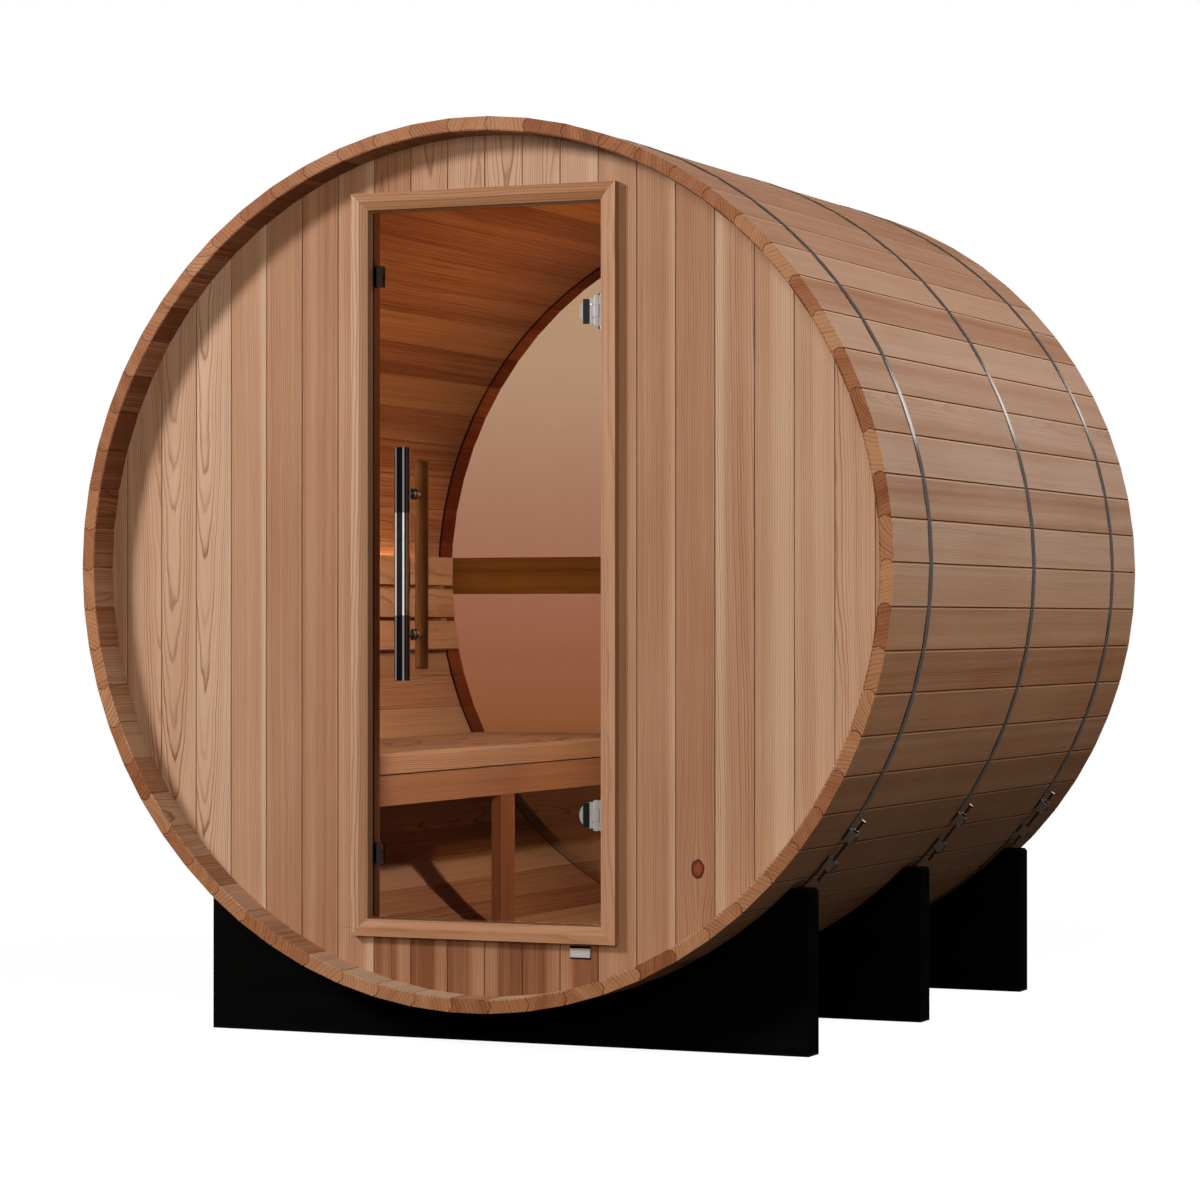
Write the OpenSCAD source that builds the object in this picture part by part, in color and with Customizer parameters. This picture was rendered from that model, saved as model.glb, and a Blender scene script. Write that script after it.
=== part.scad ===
// Barrel sauna: bead-and-cove staves drawn together by steel bands on three saddle cradles,
// with a boarded front wall, a glass door and a full-round glass back.
// X is to the right seen from the front, Y runs from front to back, Z is up from the ground.

/* [Barrel] */
// Outer diameter over the staves
barrel_d = 1829; // [1700:1:2000]
// Length of the staves
barrel_l = 1750; // [1600:1:2400]
// Thickness of a stave
stave_t = 28.5; // [26:0.5:40]
// Number of staves in the round, in six equal groups
stave_count = 66; // [60:6:72]
// Radius of the bead along one edge of a stave
bead_r = 13.5; // [10:0.5:13.5]
// How far the bead stands out of the edge
bead_rise = 6; // [3:0.5:8]
// Eased corner along a stave's edges
stave_ease = 1.5; // [0.5:0.1:2]

/* [Cradles] */
// Width of a cradle
cradle_w = 1362; // [1300:1:1500]
// Height of a cradle's horns
cradle_h = 336; // [280:1:380]
// Thickness of a cradle plank
cradle_t = 59; // [38:1:80]
// Lowest stave above the ground
ground_gap = 73.5; // [50:0.5:120]
// Front cradle behind the front stave ends
cradle_front_in = 153.5; // [120:0.5:250]
// Middle cradle behind the front stave ends
cradle_middle_in = 854.5; // [700:0.5:950]
// Rear cradle in front of the rear stave ends
cradle_rear_in = 109.5; // [90:0.5:250]
// Eased corner at the top of a horn
horn_ease = 6; // [2:1:15]

/* [Bands] */
// Width of a band
band_w = 20; // [15:1:30]
// Thickness of a band
band_t = 1.2; // [0.8:0.1:2]
// Rolled edge of a band
band_ease = 0.5; // [0.2:0.1:1]
// Front and middle bands behind their cradles
band_gap = 3.5; // [2:0.5:30]
// Rear band in front of its cradle
band_rear_gap = 22.5; // [5:0.5:40]
// Where the tensioner sits, below the horizontal on the right
tension_angle = 38.6; // [20:0.1:60]
// Distance between the two lugs
lug_span = 49; // [36:1:80]
// Height of a lug above the band
lug_h = 20; // [16:1:26]
// Length of a lug along the band
lug_l = 24; // [16:1:30]
// Eased corner along the top of a lug
lug_ease = 3; // [1:0.5:5]
// Band that runs on past a lug, towards the other one
band_tail = 4; // [2:0.5:8]
// Diameter of the tension bolt
bolt_d = 6; // [5:0.5:8]
// Length of the tension bolt
bolt_l = 157; // [150:1:180]
// Width across the corners of a nut or of the bolt's head
nut_d = 11.5; // [10:0.1:13]
// Thickness of a nut or of the bolt's head
nut_t = 5; // [4:0.5:7]

/* [Front wall] */
// Wall face behind the front stave ends
recess = 77; // [60:1:120]
// Thickness of the wall boards
wall_t = 28; // [20:1:32]
// Depth of the groove in the staves that holds an end wall
croze_d = 9; // [6:0.5:12]
// Width of a wall board
board_w = 85; // [80:1:95]
// Eased corner along a board's face
board_ease = 1.5; // [0.5:0.1:3]
// Length of a board's tongue
tongue_l = 7; // [4:0.5:9]
// Thickness of a board's tongue
tongue_t = 8; // [6:0.5:9]

/* [Door frame] */
// Width over the frame
frame_w = 600; // [560:1:660]
// Height of the wall over the frame, at the middle
wall_over = 109; // [90:1:200]
// Height of the wall under the frame, at the middle
wall_under = 115; // [90:1:200]
// Width of a frame member's face
frame_face = 35; // [30:1:40]
// How far the frame stands out of the wall, in front and behind
frame_proud = 19; // [15:1:22]
// Depth of the groove that holds the wall boards
frame_groove = 15; // [8:1:18]
// Width of the bevel along the inner front edge
bevel_w = 17; // [8:1:20]
// Depth of the bevel along the inner front edge
bevel_d = 9; // [5:1:9]

/* [Glass door] */
// Thickness of the door glass
glass_t = 8; // [6:1:10]
// Door glass behind the wall's face
glass_in = 3; // [1:1:6]
// Gap between the glass and the frame all round
door_gap = 5; // [4:0.5:6]

/* [Handles] */
// Handles to the left of the door's middle
handle_x = 170; // [140:1:200]
// Diameter of the outer steel handle
outer_d = 33; // [28:1:36]
// Length of the outer steel handle
outer_l = 482; // [420:1:560]
// Wall of the outer handle's tube
outer_wall = 2; // [1.5:0.1:3]
// Thickness of the flange of a handle end plug
plug_t = 3; // [2:0.5:5]
// Depth of a handle end plug inside the tube
plug_l = 12; // [8:1:20]
// Diameter of the inner wooden handle
inner_d = 28; // [24:1:34]
// Length of the inner wooden handle
inner_l = 436; // [400:1:500]
// Eased corner at the wooden handle's ends
inner_ease = 3; // [1:0.5:6]
// Handle axes from the faces of the glass
handle_reach = 42; // [38:1:50]
// Distance between the two posts
post_span = 292; // [250:1:340]
// Diameter of a handle post
post_d = 14; // [10:1:18]
// Diameter of a post's flange against the glass
flange_d = 24; // [20:1:28]
// Thickness of a post's flange
flange_t = 6; // [3:0.5:8]
// Diameter of the stud through the glass
stud_d = 8; // [6:1:9]

/* [Hinges] */
// Hinges from the top and the bottom of the doorway
hinge_in = 226; // [190:1:320]
// Height of a hinge
hinge_h = 62; // [56:1:76]
// Height of the knuckle that turns with the door
knuckle_mid = 24; // [18:1:30]
// Diameter of a knuckle
knuckle_d = 13; // [11:0.5:14]
// Diameter of the hinge pin
pin_d = 6; // [4:0.5:7]
// Hinge axis from the side of the frame
hinge_side = 10.5; // [10.5:0.5:14]
// Hinge axis in front of the glass
hinge_out = 10; // [9:0.5:12]
// Thickness of the leaf on the frame
leaf_t = 2.5; // [2:0.5:3]
// Depth of the leaf on the frame
leaf_d = 34; // [24:1:40]
// Height of a glass clamp plate
clamp_h = 54; // [48:1:62]
// Width of a glass clamp plate
clamp_w = 32; // [28:1:40]
// Thickness of a glass clamp plate
clamp_t = 4; // [3:0.5:5]
// Clamp plate's near edge from the hinge axis
clamp_off = 9; // [8:0.5:12]
// Diameter of a clamp screw boss
boss_d = 9; // [7:0.5:10]
// Distance between the two clamp bosses
boss_span = 28; // [20:1:34]
// Depth of the notch in the glass at a hinge
notch_d = 6; // [5:0.5:10]
// Gap between knuckles along the pin
knuckle_gap = 0.5; // [0.3:0.1:1]

/* [Catches] */
// Catches from the top and the bottom of the doorway
catch_in = 136; // [60:1:158]
// Height of a catch
catch_h = 43; // [34:1:50]
// Width of a catch body
catch_w = 18; // [14:1:22]
// Depth of a catch body
catch_d = 18; // [12:1:20]
// Width of the strike on the glass
strike_w = 12; // [10:1:16]
// Thickness of a strike plate
strike_t = 2; // [1.5:0.5:3]
// Strike from the edge of the glass
strike_in = 10; // [6:1:14]

/* [Rear window] */
// Glass face in front of the rear stave ends
rear_recess = 73; // [60:1:110]
// Thickness of the rear glass
rear_glass_t = 8; // [6:1:10]
// Height of the cross rail
rail_h = 89; // [70:1:110]
// Thickness of the cross rail
rail_t = 36; // [28:1:44]
// Depth of the grooves that hold the panes
rail_groove = 10; // [6:1:14]

/* [Bench] */
// Top of the bench below the barrel's axis
bench_drop = 394; // [340:1:440]
// Front of the bench left of the door's middle
bench_x = 280; // [220:1:320]
// Number of bench slats
bench_slats_n = 5; // [5:1:5]
// Gap between the last bench slat and the staves
bench_back_gap = 33; // [10:1:60]
// Gap between bench slats
bench_slat_gap = 8; // [5:1:12]
// Thickness of a bench slat
bench_slat_t = 28; // [22:1:34]
// Thickness of the front slat
nosing_t = 45; // [38:1:50]
// Rounded edge along the top of the front slat
nosing_r = 10; // [4:1:14]
// Gap between the front slat and the apron
apron_gap = 3; // [2:0.5:4]
// Height of the apron
apron_h = 64; // [50:1:80]
// Thickness of the apron and of the post under it
apron_t = 24; // [20:1:30]
// Gap between the bench and the end walls
bench_end_gap = 5; // [3:1:10]
// Depth of the post under the apron
bench_post_w = 73; // [50:1:90]
// Middle of the post behind the front stave ends
bench_post_in = 792; // [600:1:1000]
// Thickness of a bearer under the slats
bearer_t = 38; // [28:1:50]
// Height of a bearer
bearer_h = 60; // [50:1:75]
// End bearers from the ends of the bench
bearer_in = 120; // [60:1:250]

/* [Backrest] */
// Number of backrest slats
back_slats_n = 3; // [3:1:3]
// Height of a backrest slat
back_slat_h = 70; // [60:1:75]
// Gap between backrest slats
back_slat_gap = 12; // [8:1:16]
// Thickness of a backrest slat
back_slat_t = 20; // [16:1:26]
// Middle of the backrest below the barrel's axis
back_drop = 71; // [40:1:110]
// Backrest slats from the staves
back_stand = 40; // [30:1:60]
// How far the slats are let into the cleats
back_let = 6; // [3:1:10]
// Backrest's rear end in front of the rear stave ends
back_rear_in = 121; // [100:1:400]
// Backrest's front end behind the front stave ends
back_front_in = 190; // [160:1:400]
// Thickness of a backrest cleat
cleat_t = 34; // [24:1:50]
// End cleats from the ends of the slats
cleat_in = 20; // [10:1:120]

/* [Fits] */
// Clearance where one piece seats on another
seat_gap = 0.3; // [0.2:0.05:0.5]
// Clearance in the joints between staves and between boards
joint_gap = 0.4; // [0.3:0.05:0.6]
// Radial clearance of the hinge pin
pin_gap = 0.1; // [0.05:0.01:0.1]

/* [Hidden] */
$fn = 96;

// Colours as the photo shows them
cedar = [0.72, 0.50, 0.34];
cedar_dark = [0.55, 0.33, 0.20];
stain_black = [0.07, 0.06, 0.06];
steel = [0.78, 0.78, 0.80];
bronze_glass = [0.45, 0.30, 0.22, 0.45];
black_plastic = [0.05, 0.05, 0.05];

// Barrel
barrel_r = barrel_d / 2;
axis_h = ground_gap + barrel_r;
front_y = -barrel_l / 2;
rear_y = barrel_l / 2;
stave_step = 360 / stave_count;
group_n = stave_count / 6;
face_r = barrel_r * cos(stave_step / 2);
inner_r = face_r - stave_t;
inner_corner_r = inner_r / cos(stave_step / 2);
mid_r = (barrel_r + inner_corner_r) / 2;
outer_half = face_r * tan(stave_step / 2);
inner_half = inner_r * tan(stave_step / 2);
end_r = inner_r + croze_d;

// Length of a cut that passes right through a piece of the barrel's section
through = barrel_d;

// Cradles and bands
cradle_front_y = front_y + cradle_front_in;
cradle_middle_y = front_y + cradle_middle_in;
cradle_rear_y = rear_y - cradle_rear_in - cradle_t;
band_front_y = cradle_front_y + cradle_t + band_gap;
band_middle_y = cradle_middle_y + cradle_t + band_gap;
band_rear_y = cradle_rear_y - band_rear_gap - band_w;
band_r = barrel_r + seat_gap;
bolt_r = band_r + band_t + lug_h / 2;

// Front wall, door frame and door
wall_y = front_y + recess;
wall_back_y = wall_y + wall_t;
frame_front_y = wall_y - frame_proud;
frame_back_y = wall_back_y + frame_proud;
frame_h = 2 * inner_r - wall_over - wall_under;
frame_z = axis_h + (wall_under - wall_over) / 2;
open_w = frame_w - 2 * frame_face;
open_h = frame_h - 2 * frame_face;
groove_w = frame_w - 2 * frame_groove;
groove_h = frame_h - 2 * frame_groove;
side_boards = ceil((groove_w / 2) / board_w);
side_x = side_boards * board_w;
glass_y = wall_y + glass_in;
glass_back_y = glass_y + glass_t;
door_w = open_w - 2 * door_gap;
door_h = open_h - 2 * door_gap;
hinge_z = open_h / 2 - hinge_in;
catch_z = open_h / 2 - catch_in;
hinge_x = open_w / 2 - hinge_side;
hinge_y = glass_y - hinge_out;
clamp_x = hinge_x - clamp_off - clamp_w;
boss_x = clamp_x + clamp_w / 2;
leaf_y = frame_front_y + bevel_d;
strike_x = -door_w / 2 + strike_in;
catch_y = glass_back_y + seat_gap + strike_t + door_gap;
outer_handle_y = glass_y - handle_reach;
inner_handle_y = glass_back_y + handle_reach;

// Rear window
rear_glass_y = rear_y - rear_recess - rear_glass_t;
rail_y = rear_glass_y + rear_glass_t / 2 - rail_t / 2;

// Bench, measured from the barrel's axis
bench_top = -bench_drop;
bench_y = frame_back_y + bench_end_gap;
bench_l = rail_y - bench_end_gap - bench_y;
slat_under = bench_top - bench_slat_t;
bench_back_x = sqrt(inner_r * inner_r - slat_under * slat_under) - bench_back_gap;
bench_slat_w = (bench_back_x - bench_x + bench_slat_gap) / bench_slats_n - bench_slat_gap;
nosing_under = bench_top - nosing_t;
apron_top = nosing_under - apron_gap;
apron_under = apron_top - apron_h;
bearer_back_x = -bench_x - apron_t - seat_gap;
bearer_under = nosing_under - seat_gap - bearer_h;
bearer_ys = [
    bench_y + bearer_in,
    front_y + bench_post_in - bearer_t / 2,
    bench_y + bench_l - bearer_in - bearer_t
];

// Backrest, set around the barrel's axis
back_r = inner_r - back_stand;
back_step = 2 * asin((back_slat_h + back_slat_gap) / 2 / back_r);
back_mid = 180 + asin(back_drop / back_r);
back_l = barrel_l - back_front_in - back_rear_in;
cleat_sweep = back_step * (back_slats_n - 1) / 2 + asin(back_slat_h / 3 / back_r);
cleat_ys = [
    front_y + back_front_in + cleat_in,
    front_y + back_front_in + (back_l - cleat_t) / 2,
    rear_y - back_rear_in - cleat_in - cleat_t
];

// Point at radius r on the ray at angle a, moved t along the tangent
function on_ray(a, r, t) = [r * cos(a) - t * sin(a), r * sin(a) + t * cos(a)];

// Extrudes a section of the barrel, drawn round its axis, from y for a length
module along(y, length) {
    translate([0, y + length, axis_h])
        rotate([90, 0, 0])
            linear_extrude(height = length)
                children();
}

// Round bar along Y at x and z
module bar_y(d, x, z, y, length) {
    translate([x, y, z])
        rotate([-90, 0, 0])
            cylinder(d = d, h = length);
}

// Bar along the whole barrel in the joint at angle a, set back so that its round makes the bead
module bead_bar(a, r, y, length) {
    p = on_ray(a, mid_r, bead_rise - bead_r);
    bar_y(2 * r, p[0], axis_h + p[1], y, length);
}

// One stave, with its bead on one edge and its cove in the other
module stave(k) {
    a0 = k * stave_step;
    a1 = a0 + stave_step;
    am = a0 + stave_step / 2;
    difference() {
        union() {
            along(front_y, barrel_l)
                polygon([
                    on_ray(a0, inner_corner_r + stave_ease, joint_gap),
                    on_ray(am, inner_r, joint_gap + stave_ease - inner_half),
                    on_ray(am, inner_r, inner_half - stave_ease),
                    on_ray(a1, inner_corner_r + stave_ease, 0),
                    on_ray(a1, barrel_r - stave_ease, 0),
                    on_ray(am, face_r, outer_half - stave_ease),
                    on_ray(am, face_r, joint_gap + stave_ease - outer_half),
                    on_ray(a0, barrel_r - stave_ease, joint_gap)
                ]);
            bead_bar(a1, bead_r, front_y, barrel_l);
        }
        bead_bar(a0, bead_r + joint_gap, front_y - bead_r, barrel_l + 2 * bead_r);
    }
}

// A sixth of the barrel, with the grooves that hold the end walls
module stave_group(first) {
    color(cedar)
        difference() {
            for (k = [first : first + group_n - 1])
                stave(k);
            bar_y(2 * end_r, 0, axis_h, wall_y - seat_gap, wall_t + 2 * seat_gap);
            bar_y(2 * end_r, 0, axis_h, rear_glass_y - seat_gap, rear_glass_t + 2 * seat_gap);
        }
}

module staves_upper_right() { stave_group(0); }
module staves_top() { stave_group(group_n); }
module staves_upper_left() { stave_group(2 * group_n); }
module staves_lower_left() { stave_group(3 * group_n); }
module staves_bottom() { stave_group(4 * group_n); }
module staves_lower_right() { stave_group(5 * group_n); }

// Plank with a saddle for the barrel, standing on the ground
module cradle(y) {
    horn_x = cradle_w / 2;
    top_z = cradle_h - axis_h;
    color(stain_black)
        along(y, cradle_t)
            difference() {
                polygon([
                    [-horn_x, -axis_h],
                    [horn_x, -axis_h],
                    [horn_x, top_z - horn_ease],
                    [horn_x - horn_ease, top_z],
                    [horn_ease - horn_x, top_z],
                    [-horn_x, top_z - horn_ease]
                ]);
                circle(r = barrel_r + seat_gap);
            }
}

module cradle_front() { cradle(cradle_front_y); }
module cradle_middle() { cradle(cradle_middle_y); }
module cradle_rear() { cradle(cradle_rear_y); }

// Places a tensioner part: X runs out of the barrel, Z runs along the band
module at_tensioner(y) {
    translate([0, y + band_w / 2, axis_h])
        rotate([0, tension_angle, 0])
            children();
}

// Block lug on the upper end of a band, fitted to the band's round
module band_lug() {
    top_x = band_r + band_t + lug_h;
    difference() {
        translate([0, band_w / 2, lug_span / 2])
            rotate([90, 0, 0])
                linear_extrude(height = band_w)
                    polygon([
                        [band_r - lug_h, 0],
                        [top_x - lug_ease, 0],
                        [top_x, lug_ease],
                        [top_x, lug_l - lug_ease],
                        [top_x - lug_ease, lug_l],
                        [band_r - lug_h, lug_l]
                    ]);
        rotate([90, 0, 0])
            cylinder(r = band_r + band_t / 2, h = 2 * band_w, center = true);
    }
}

// Steel band, open at the tensioner, with a lug near each end
module band(y) {
    end_angle = asin((lug_span / 2 - band_tail) / band_r);
    color(steel)
        at_tensioner(y)
            difference() {
                union() {
                    rotate([90, -end_angle, 0])
                        rotate_extrude(angle = 360 - 2 * end_angle)
                            polygon([
                                [band_r, -band_w / 2],
                                [band_r + band_t, band_ease - band_w / 2],
                                [band_r + band_t, band_w / 2 - band_ease],
                                [band_r, band_w / 2]
                            ]);
                    for (side = [0, 1])
                        mirror([0, 0, side])
                            band_lug();
                }
                translate([bolt_r, 0, -bolt_l / 2])
                    cylinder(d = bolt_d + 2 * seat_gap, h = bolt_l);
            }
}

module band_front() { band(band_front_y); }
module band_middle() { band(band_middle_y); }
module band_rear() { band(band_rear_y); }

// Bolt through both lugs, with its head above and a nut outside each lug
module tension_bolt(y) {
    nut_z = lug_span / 2 + lug_l + seat_gap;
    color(steel)
        at_tensioner(y)
            translate([bolt_r, 0, 0]) {
                translate([0, 0, -bolt_l / 2])
                    cylinder(d = bolt_d, h = bolt_l);
                for (z = [-nut_z - nut_t, nut_z, bolt_l / 2 - nut_t])
                    translate([0, 0, z])
                        cylinder(d = nut_d, h = nut_t, $fn = 6);
            }
}

module tension_bolt_front() { tension_bolt(band_front_y); }
module tension_bolt_middle() { tension_bolt(band_middle_y); }
module tension_bolt_rear() { tension_bolt(band_rear_y); }

// Wall board from x0 to x1 in plan, with a groove at x0 and a tongue at x1 where asked
module board_plan(x0, x1, grooved, tongued) {
    left = x0 + joint_gap / 2;
    right = x1 - joint_gap / 2;
    mid_y = wall_y + wall_t / 2;
    difference() {
        union() {
            polygon([
                [left + board_ease, wall_y],
                [right - board_ease, wall_y],
                [right, wall_y + board_ease],
                [right, wall_back_y - board_ease],
                [right - board_ease, wall_back_y],
                [left + board_ease, wall_back_y],
                [left, wall_back_y - board_ease],
                [left, wall_y + board_ease]
            ]);
            if (tongued)
                translate([right - tongue_l, mid_y - tongue_t / 2])
                    square([2 * tongue_l, tongue_t]);
        }
        if (grooved)
            translate([left - tongue_l, mid_y - tongue_t / 2 - joint_gap])
                square([2 * tongue_l + joint_gap, tongue_t + 2 * joint_gap]);
    }
}

// Board from z0 to z1, cut to the round of the barrel's groove
module wall_board(x0, x1, z0, z1, grooved, tongued) {
    intersection() {
        translate([0, 0, z0])
            linear_extrude(height = z1 - z0)
                board_plan(x0, x1, grooved, tongued);
        bar_y(2 * (end_r - seat_gap), 0, axis_h, wall_y - wall_t, 3 * wall_t);
    }
}

// Full boards on the right of the door, and the piece in the frame's groove
module side_wall() {
    last = ceil(end_r / board_w) - 1;
    low_z = axis_h - end_r;
    for (n = [side_boards : last])
        wall_board(n * board_w, (n + 1) * board_w, low_z, low_z + 2 * end_r, true, n < last);
    wall_board(groove_w / 2 + seat_gap, side_x, frame_z - groove_h / 2, frame_z + groove_h / 2, false, true);
}

module front_wall_right() { color(cedar) side_wall(); }
module front_wall_left() { color(cedar) mirror([1, 0, 0]) side_wall(); }

// Short boards between the full boards of the two sides
module short_wall(z0, z1) {
    color(cedar)
        for (n = [0 : side_boards - 1], side = [0, 1])
            mirror([side, 0, 0])
                wall_board(n * board_w, (n + 1) * board_w, z0, z1, n > 0 || side == 1, n > 0 || side == 0);
}

module front_wall_over_door() { short_wall(frame_z + groove_h / 2 + seat_gap, axis_h + end_r); }
module front_wall_under_door() { short_wall(axis_h - end_r, frame_z - groove_h / 2 - seat_gap); }

// Section of a frame member: X runs out from the opening, Y from front to back
module frame_section() {
    difference() {
        polygon([
            [0, frame_front_y + bevel_d],
            [bevel_w, frame_front_y],
            [frame_face, frame_front_y],
            [frame_face, frame_back_y],
            [0, frame_back_y]
        ]);
        translate([frame_face - frame_groove, wall_y - seat_gap])
            square([2 * frame_groove, wall_t + 2 * seat_gap]);
    }
}

// Frame member of the given opening length, mitred at both ends, drawn on the right
module frame_member(opening, across) {
    mitre = opening / 2 + frame_face;
    color(cedar)
        intersection() {
            translate([across / 2, 0, -mitre])
                linear_extrude(height = 2 * mitre)
                    frame_section();
            translate([0, frame_back_y + frame_proud, 0])
                rotate([90, 0, 0])
                    linear_extrude(height = 2 * (frame_back_y - frame_front_y))
                        polygon([
                            [across / 2, -opening / 2],
                            [across / 2 + frame_face, -mitre],
                            [across / 2 + frame_face, mitre],
                            [across / 2, opening / 2]
                        ]);
        }
}

module door_frame_right() { translate([0, 0, frame_z]) frame_member(open_h, open_w); }
module door_frame_left() { translate([0, 0, frame_z]) mirror([1, 0, 0]) frame_member(open_h, open_w); }
module door_frame_top() { translate([0, 0, frame_z]) rotate([0, -90, 0]) frame_member(open_w, open_h); }
module door_frame_bottom() { translate([0, 0, frame_z]) rotate([0, 90, 0]) frame_member(open_w, open_h); }

// Puts a part at the upper and the lower of two heights from the door's middle
module upper_and_lower(rise) {
    for (side = [-1, 1])
        translate([0, 0, frame_z + side * rise])
            children();
}

// Fixed half of a hinge: leaf on the frame, end knuckles and pin
module hinge_leaf() {
    end_h = (hinge_h - knuckle_mid) / 2 - knuckle_gap;
    translate([open_w / 2 - leaf_t, leaf_y, -hinge_h / 2])
        cube([leaf_t, leaf_d, hinge_h]);
    translate([hinge_x, hinge_y, -hinge_h / 2])
        cylinder(d = pin_d, h = hinge_h);
    for (z = [-hinge_h / 2, hinge_h / 2 - end_h]) {
        translate([hinge_x, hinge_y, z])
            cylinder(d = knuckle_d, h = end_h);
        translate([hinge_x, leaf_y, z])
            cube([hinge_side, pin_d / 2 + hinge_y - leaf_y, end_h]);
    }
}

module hinge_leaves() { color(steel) upper_and_lower(hinge_z) hinge_leaf(); }

// Outline of a clamp plate, round at its far end
module clamp_outline() {
    round_r = clamp_h / 2;
    intersection() {
        union() {
            translate([clamp_x + round_r, 0])
                circle(r = round_r);
            translate([clamp_x + round_r, -round_r])
                square([clamp_w, clamp_h]);
        }
        translate([clamp_x, -round_r])
            square([clamp_w, clamp_h]);
    }
}

// Plate standing from y for a thickness, drawn in X and Z
module upright_plate(y, thickness) {
    translate([0, y + thickness, 0])
        rotate([90, 0, 0])
            linear_extrude(height = thickness)
                children();
}

// Moving half of a hinge: two plates that clamp the glass, and the middle knuckle
module hinge_clamp() {
    front_plate_y = glass_y - seat_gap - clamp_t;
    difference() {
        union() {
            upright_plate(front_plate_y, clamp_t) clamp_outline();
            upright_plate(glass_back_y + seat_gap, clamp_t) clamp_outline();
            for (side = [-1, 1])
                bar_y(boss_d, boss_x, side * boss_span / 2, glass_y - clamp_t, glass_t + 2 * clamp_t);
            translate([hinge_x, hinge_y, -knuckle_mid / 2])
                cylinder(d = knuckle_d, h = knuckle_mid);
            translate([hinge_x - clamp_off - clamp_t, hinge_y, -knuckle_mid / 2])
                cube([clamp_off + clamp_t, glass_y - seat_gap - hinge_y, knuckle_mid]);
        }
        translate([hinge_x, hinge_y, -knuckle_mid])
            cylinder(d = pin_d + 2 * pin_gap, h = 2 * knuckle_mid);
    }
}

module hinge_clamps() { color(steel) upper_and_lower(hinge_z) hinge_clamp(); }

// Magnet bodies on the frame behind the glass
module catches() {
    color(black_plastic)
        upper_and_lower(catch_z)
            translate([-open_w / 2, catch_y, -catch_h / 2])
                cube([catch_w, catch_d, catch_h]);
}

// Plates on both faces of the glass that meet the catches, joined by a stud
module catch_strikes() {
    color(steel)
        upper_and_lower(catch_z) {
            translate([strike_x, glass_y - seat_gap - strike_t, -catch_h / 2])
                cube([strike_w, strike_t, catch_h]);
            translate([strike_x, glass_back_y + seat_gap, -catch_h / 2])
                cube([strike_w, strike_t, catch_h]);
            bar_y(stud_d, strike_x + strike_w / 2, 0, glass_y - strike_t, glass_t + 2 * strike_t);
        }
}

// Door pane, notched at the hinges and drilled for the fittings
module door_glass() {
    drill_y = glass_y - glass_t;
    drill_l = 3 * glass_t;
    color(bronze_glass)
        difference() {
            translate([-door_w / 2, glass_y, frame_z - door_h / 2])
                cube([door_w, glass_t, door_h]);
            upper_and_lower(hinge_z) {
                translate([door_w / 2 - notch_d, drill_y, -hinge_h / 2 - door_gap])
                    cube([2 * notch_d, drill_l, hinge_h + 2 * door_gap]);
                for (side = [-1, 1])
                    bar_y(boss_d + 2 * seat_gap, boss_x, side * boss_span / 2, drill_y, drill_l);
            }
            upper_and_lower(catch_z)
                bar_y(stud_d + 2 * seat_gap, strike_x + strike_w / 2, 0, drill_y, drill_l);
            upper_and_lower(post_span / 2)
                bar_y(stud_d + 2 * seat_gap, -handle_x, 0, drill_y, drill_l);
        }
}

// Steel tube with a plug in each end
module door_handle_outer() {
    tube_l = outer_l - 2 * plug_t - 2 * seat_gap;
    bore_d = outer_d - 2 * outer_wall;
    color(steel)
        translate([-handle_x, outer_handle_y, frame_z]) {
            difference() {
                cylinder(d = outer_d, h = tube_l, center = true);
                cylinder(d = bore_d, h = outer_l, center = true);
            }
            for (side = [0, 1])
                mirror([0, 0, side]) {
                    translate([0, 0, outer_l / 2 - plug_t])
                        cylinder(d = outer_d, h = plug_t);
                    translate([0, 0, outer_l / 2 - plug_t - plug_l])
                        cylinder(d = bore_d - 2 * seat_gap, h = plug_t + plug_l);
                }
        }
}

// Turned wooden bar with eased ends
module door_handle_inner() {
    color(cedar_dark)
        translate([-handle_x, inner_handle_y, frame_z])
            rotate_extrude()
                polygon([
                    [0, -inner_l / 2],
                    [inner_d / 2 - inner_ease, -inner_l / 2],
                    [inner_d / 2, inner_ease - inner_l / 2],
                    [inner_d / 2, inner_l / 2 - inner_ease],
                    [inner_d / 2 - inner_ease, inner_l / 2],
                    [0, inner_l / 2]
                ]);
}

// Posts that carry both handles, each bolted through the glass
module door_handle_posts() {
    color(steel)
        difference() {
            upper_and_lower(post_span / 2) {
                bar_y(post_d, -handle_x, 0, outer_handle_y, handle_reach - seat_gap);
                bar_y(flange_d, -handle_x, 0, glass_y - seat_gap - flange_t, flange_t);
                bar_y(stud_d, -handle_x, 0, glass_y - flange_t, glass_t + 2 * flange_t);
                bar_y(flange_d, -handle_x, 0, glass_back_y + seat_gap, flange_t);
                bar_y(post_d, -handle_x, 0, glass_back_y + seat_gap, handle_reach - seat_gap);
            }
            translate([-handle_x, outer_handle_y, frame_z])
                cylinder(d = outer_d + 2 * seat_gap, h = outer_l, center = true);
            translate([-handle_x, inner_handle_y, frame_z])
                cylinder(d = inner_d + 2 * seat_gap, h = inner_l, center = true);
        }
}

// Half-moon pane above the rail, drawn round the barrel's axis
module half_pane() {
    edge_z = rail_h / 2 - rail_groove + seat_gap;
    intersection() {
        circle(r = end_r - seat_gap);
        translate([-through / 2, edge_z])
            square([through, through]);
    }
}

module rear_glass_upper() { color(bronze_glass) along(rear_glass_y, rear_glass_t) half_pane(); }
module rear_glass_lower() { color(bronze_glass) along(rear_glass_y, rear_glass_t) mirror([0, 1]) half_pane(); }

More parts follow.
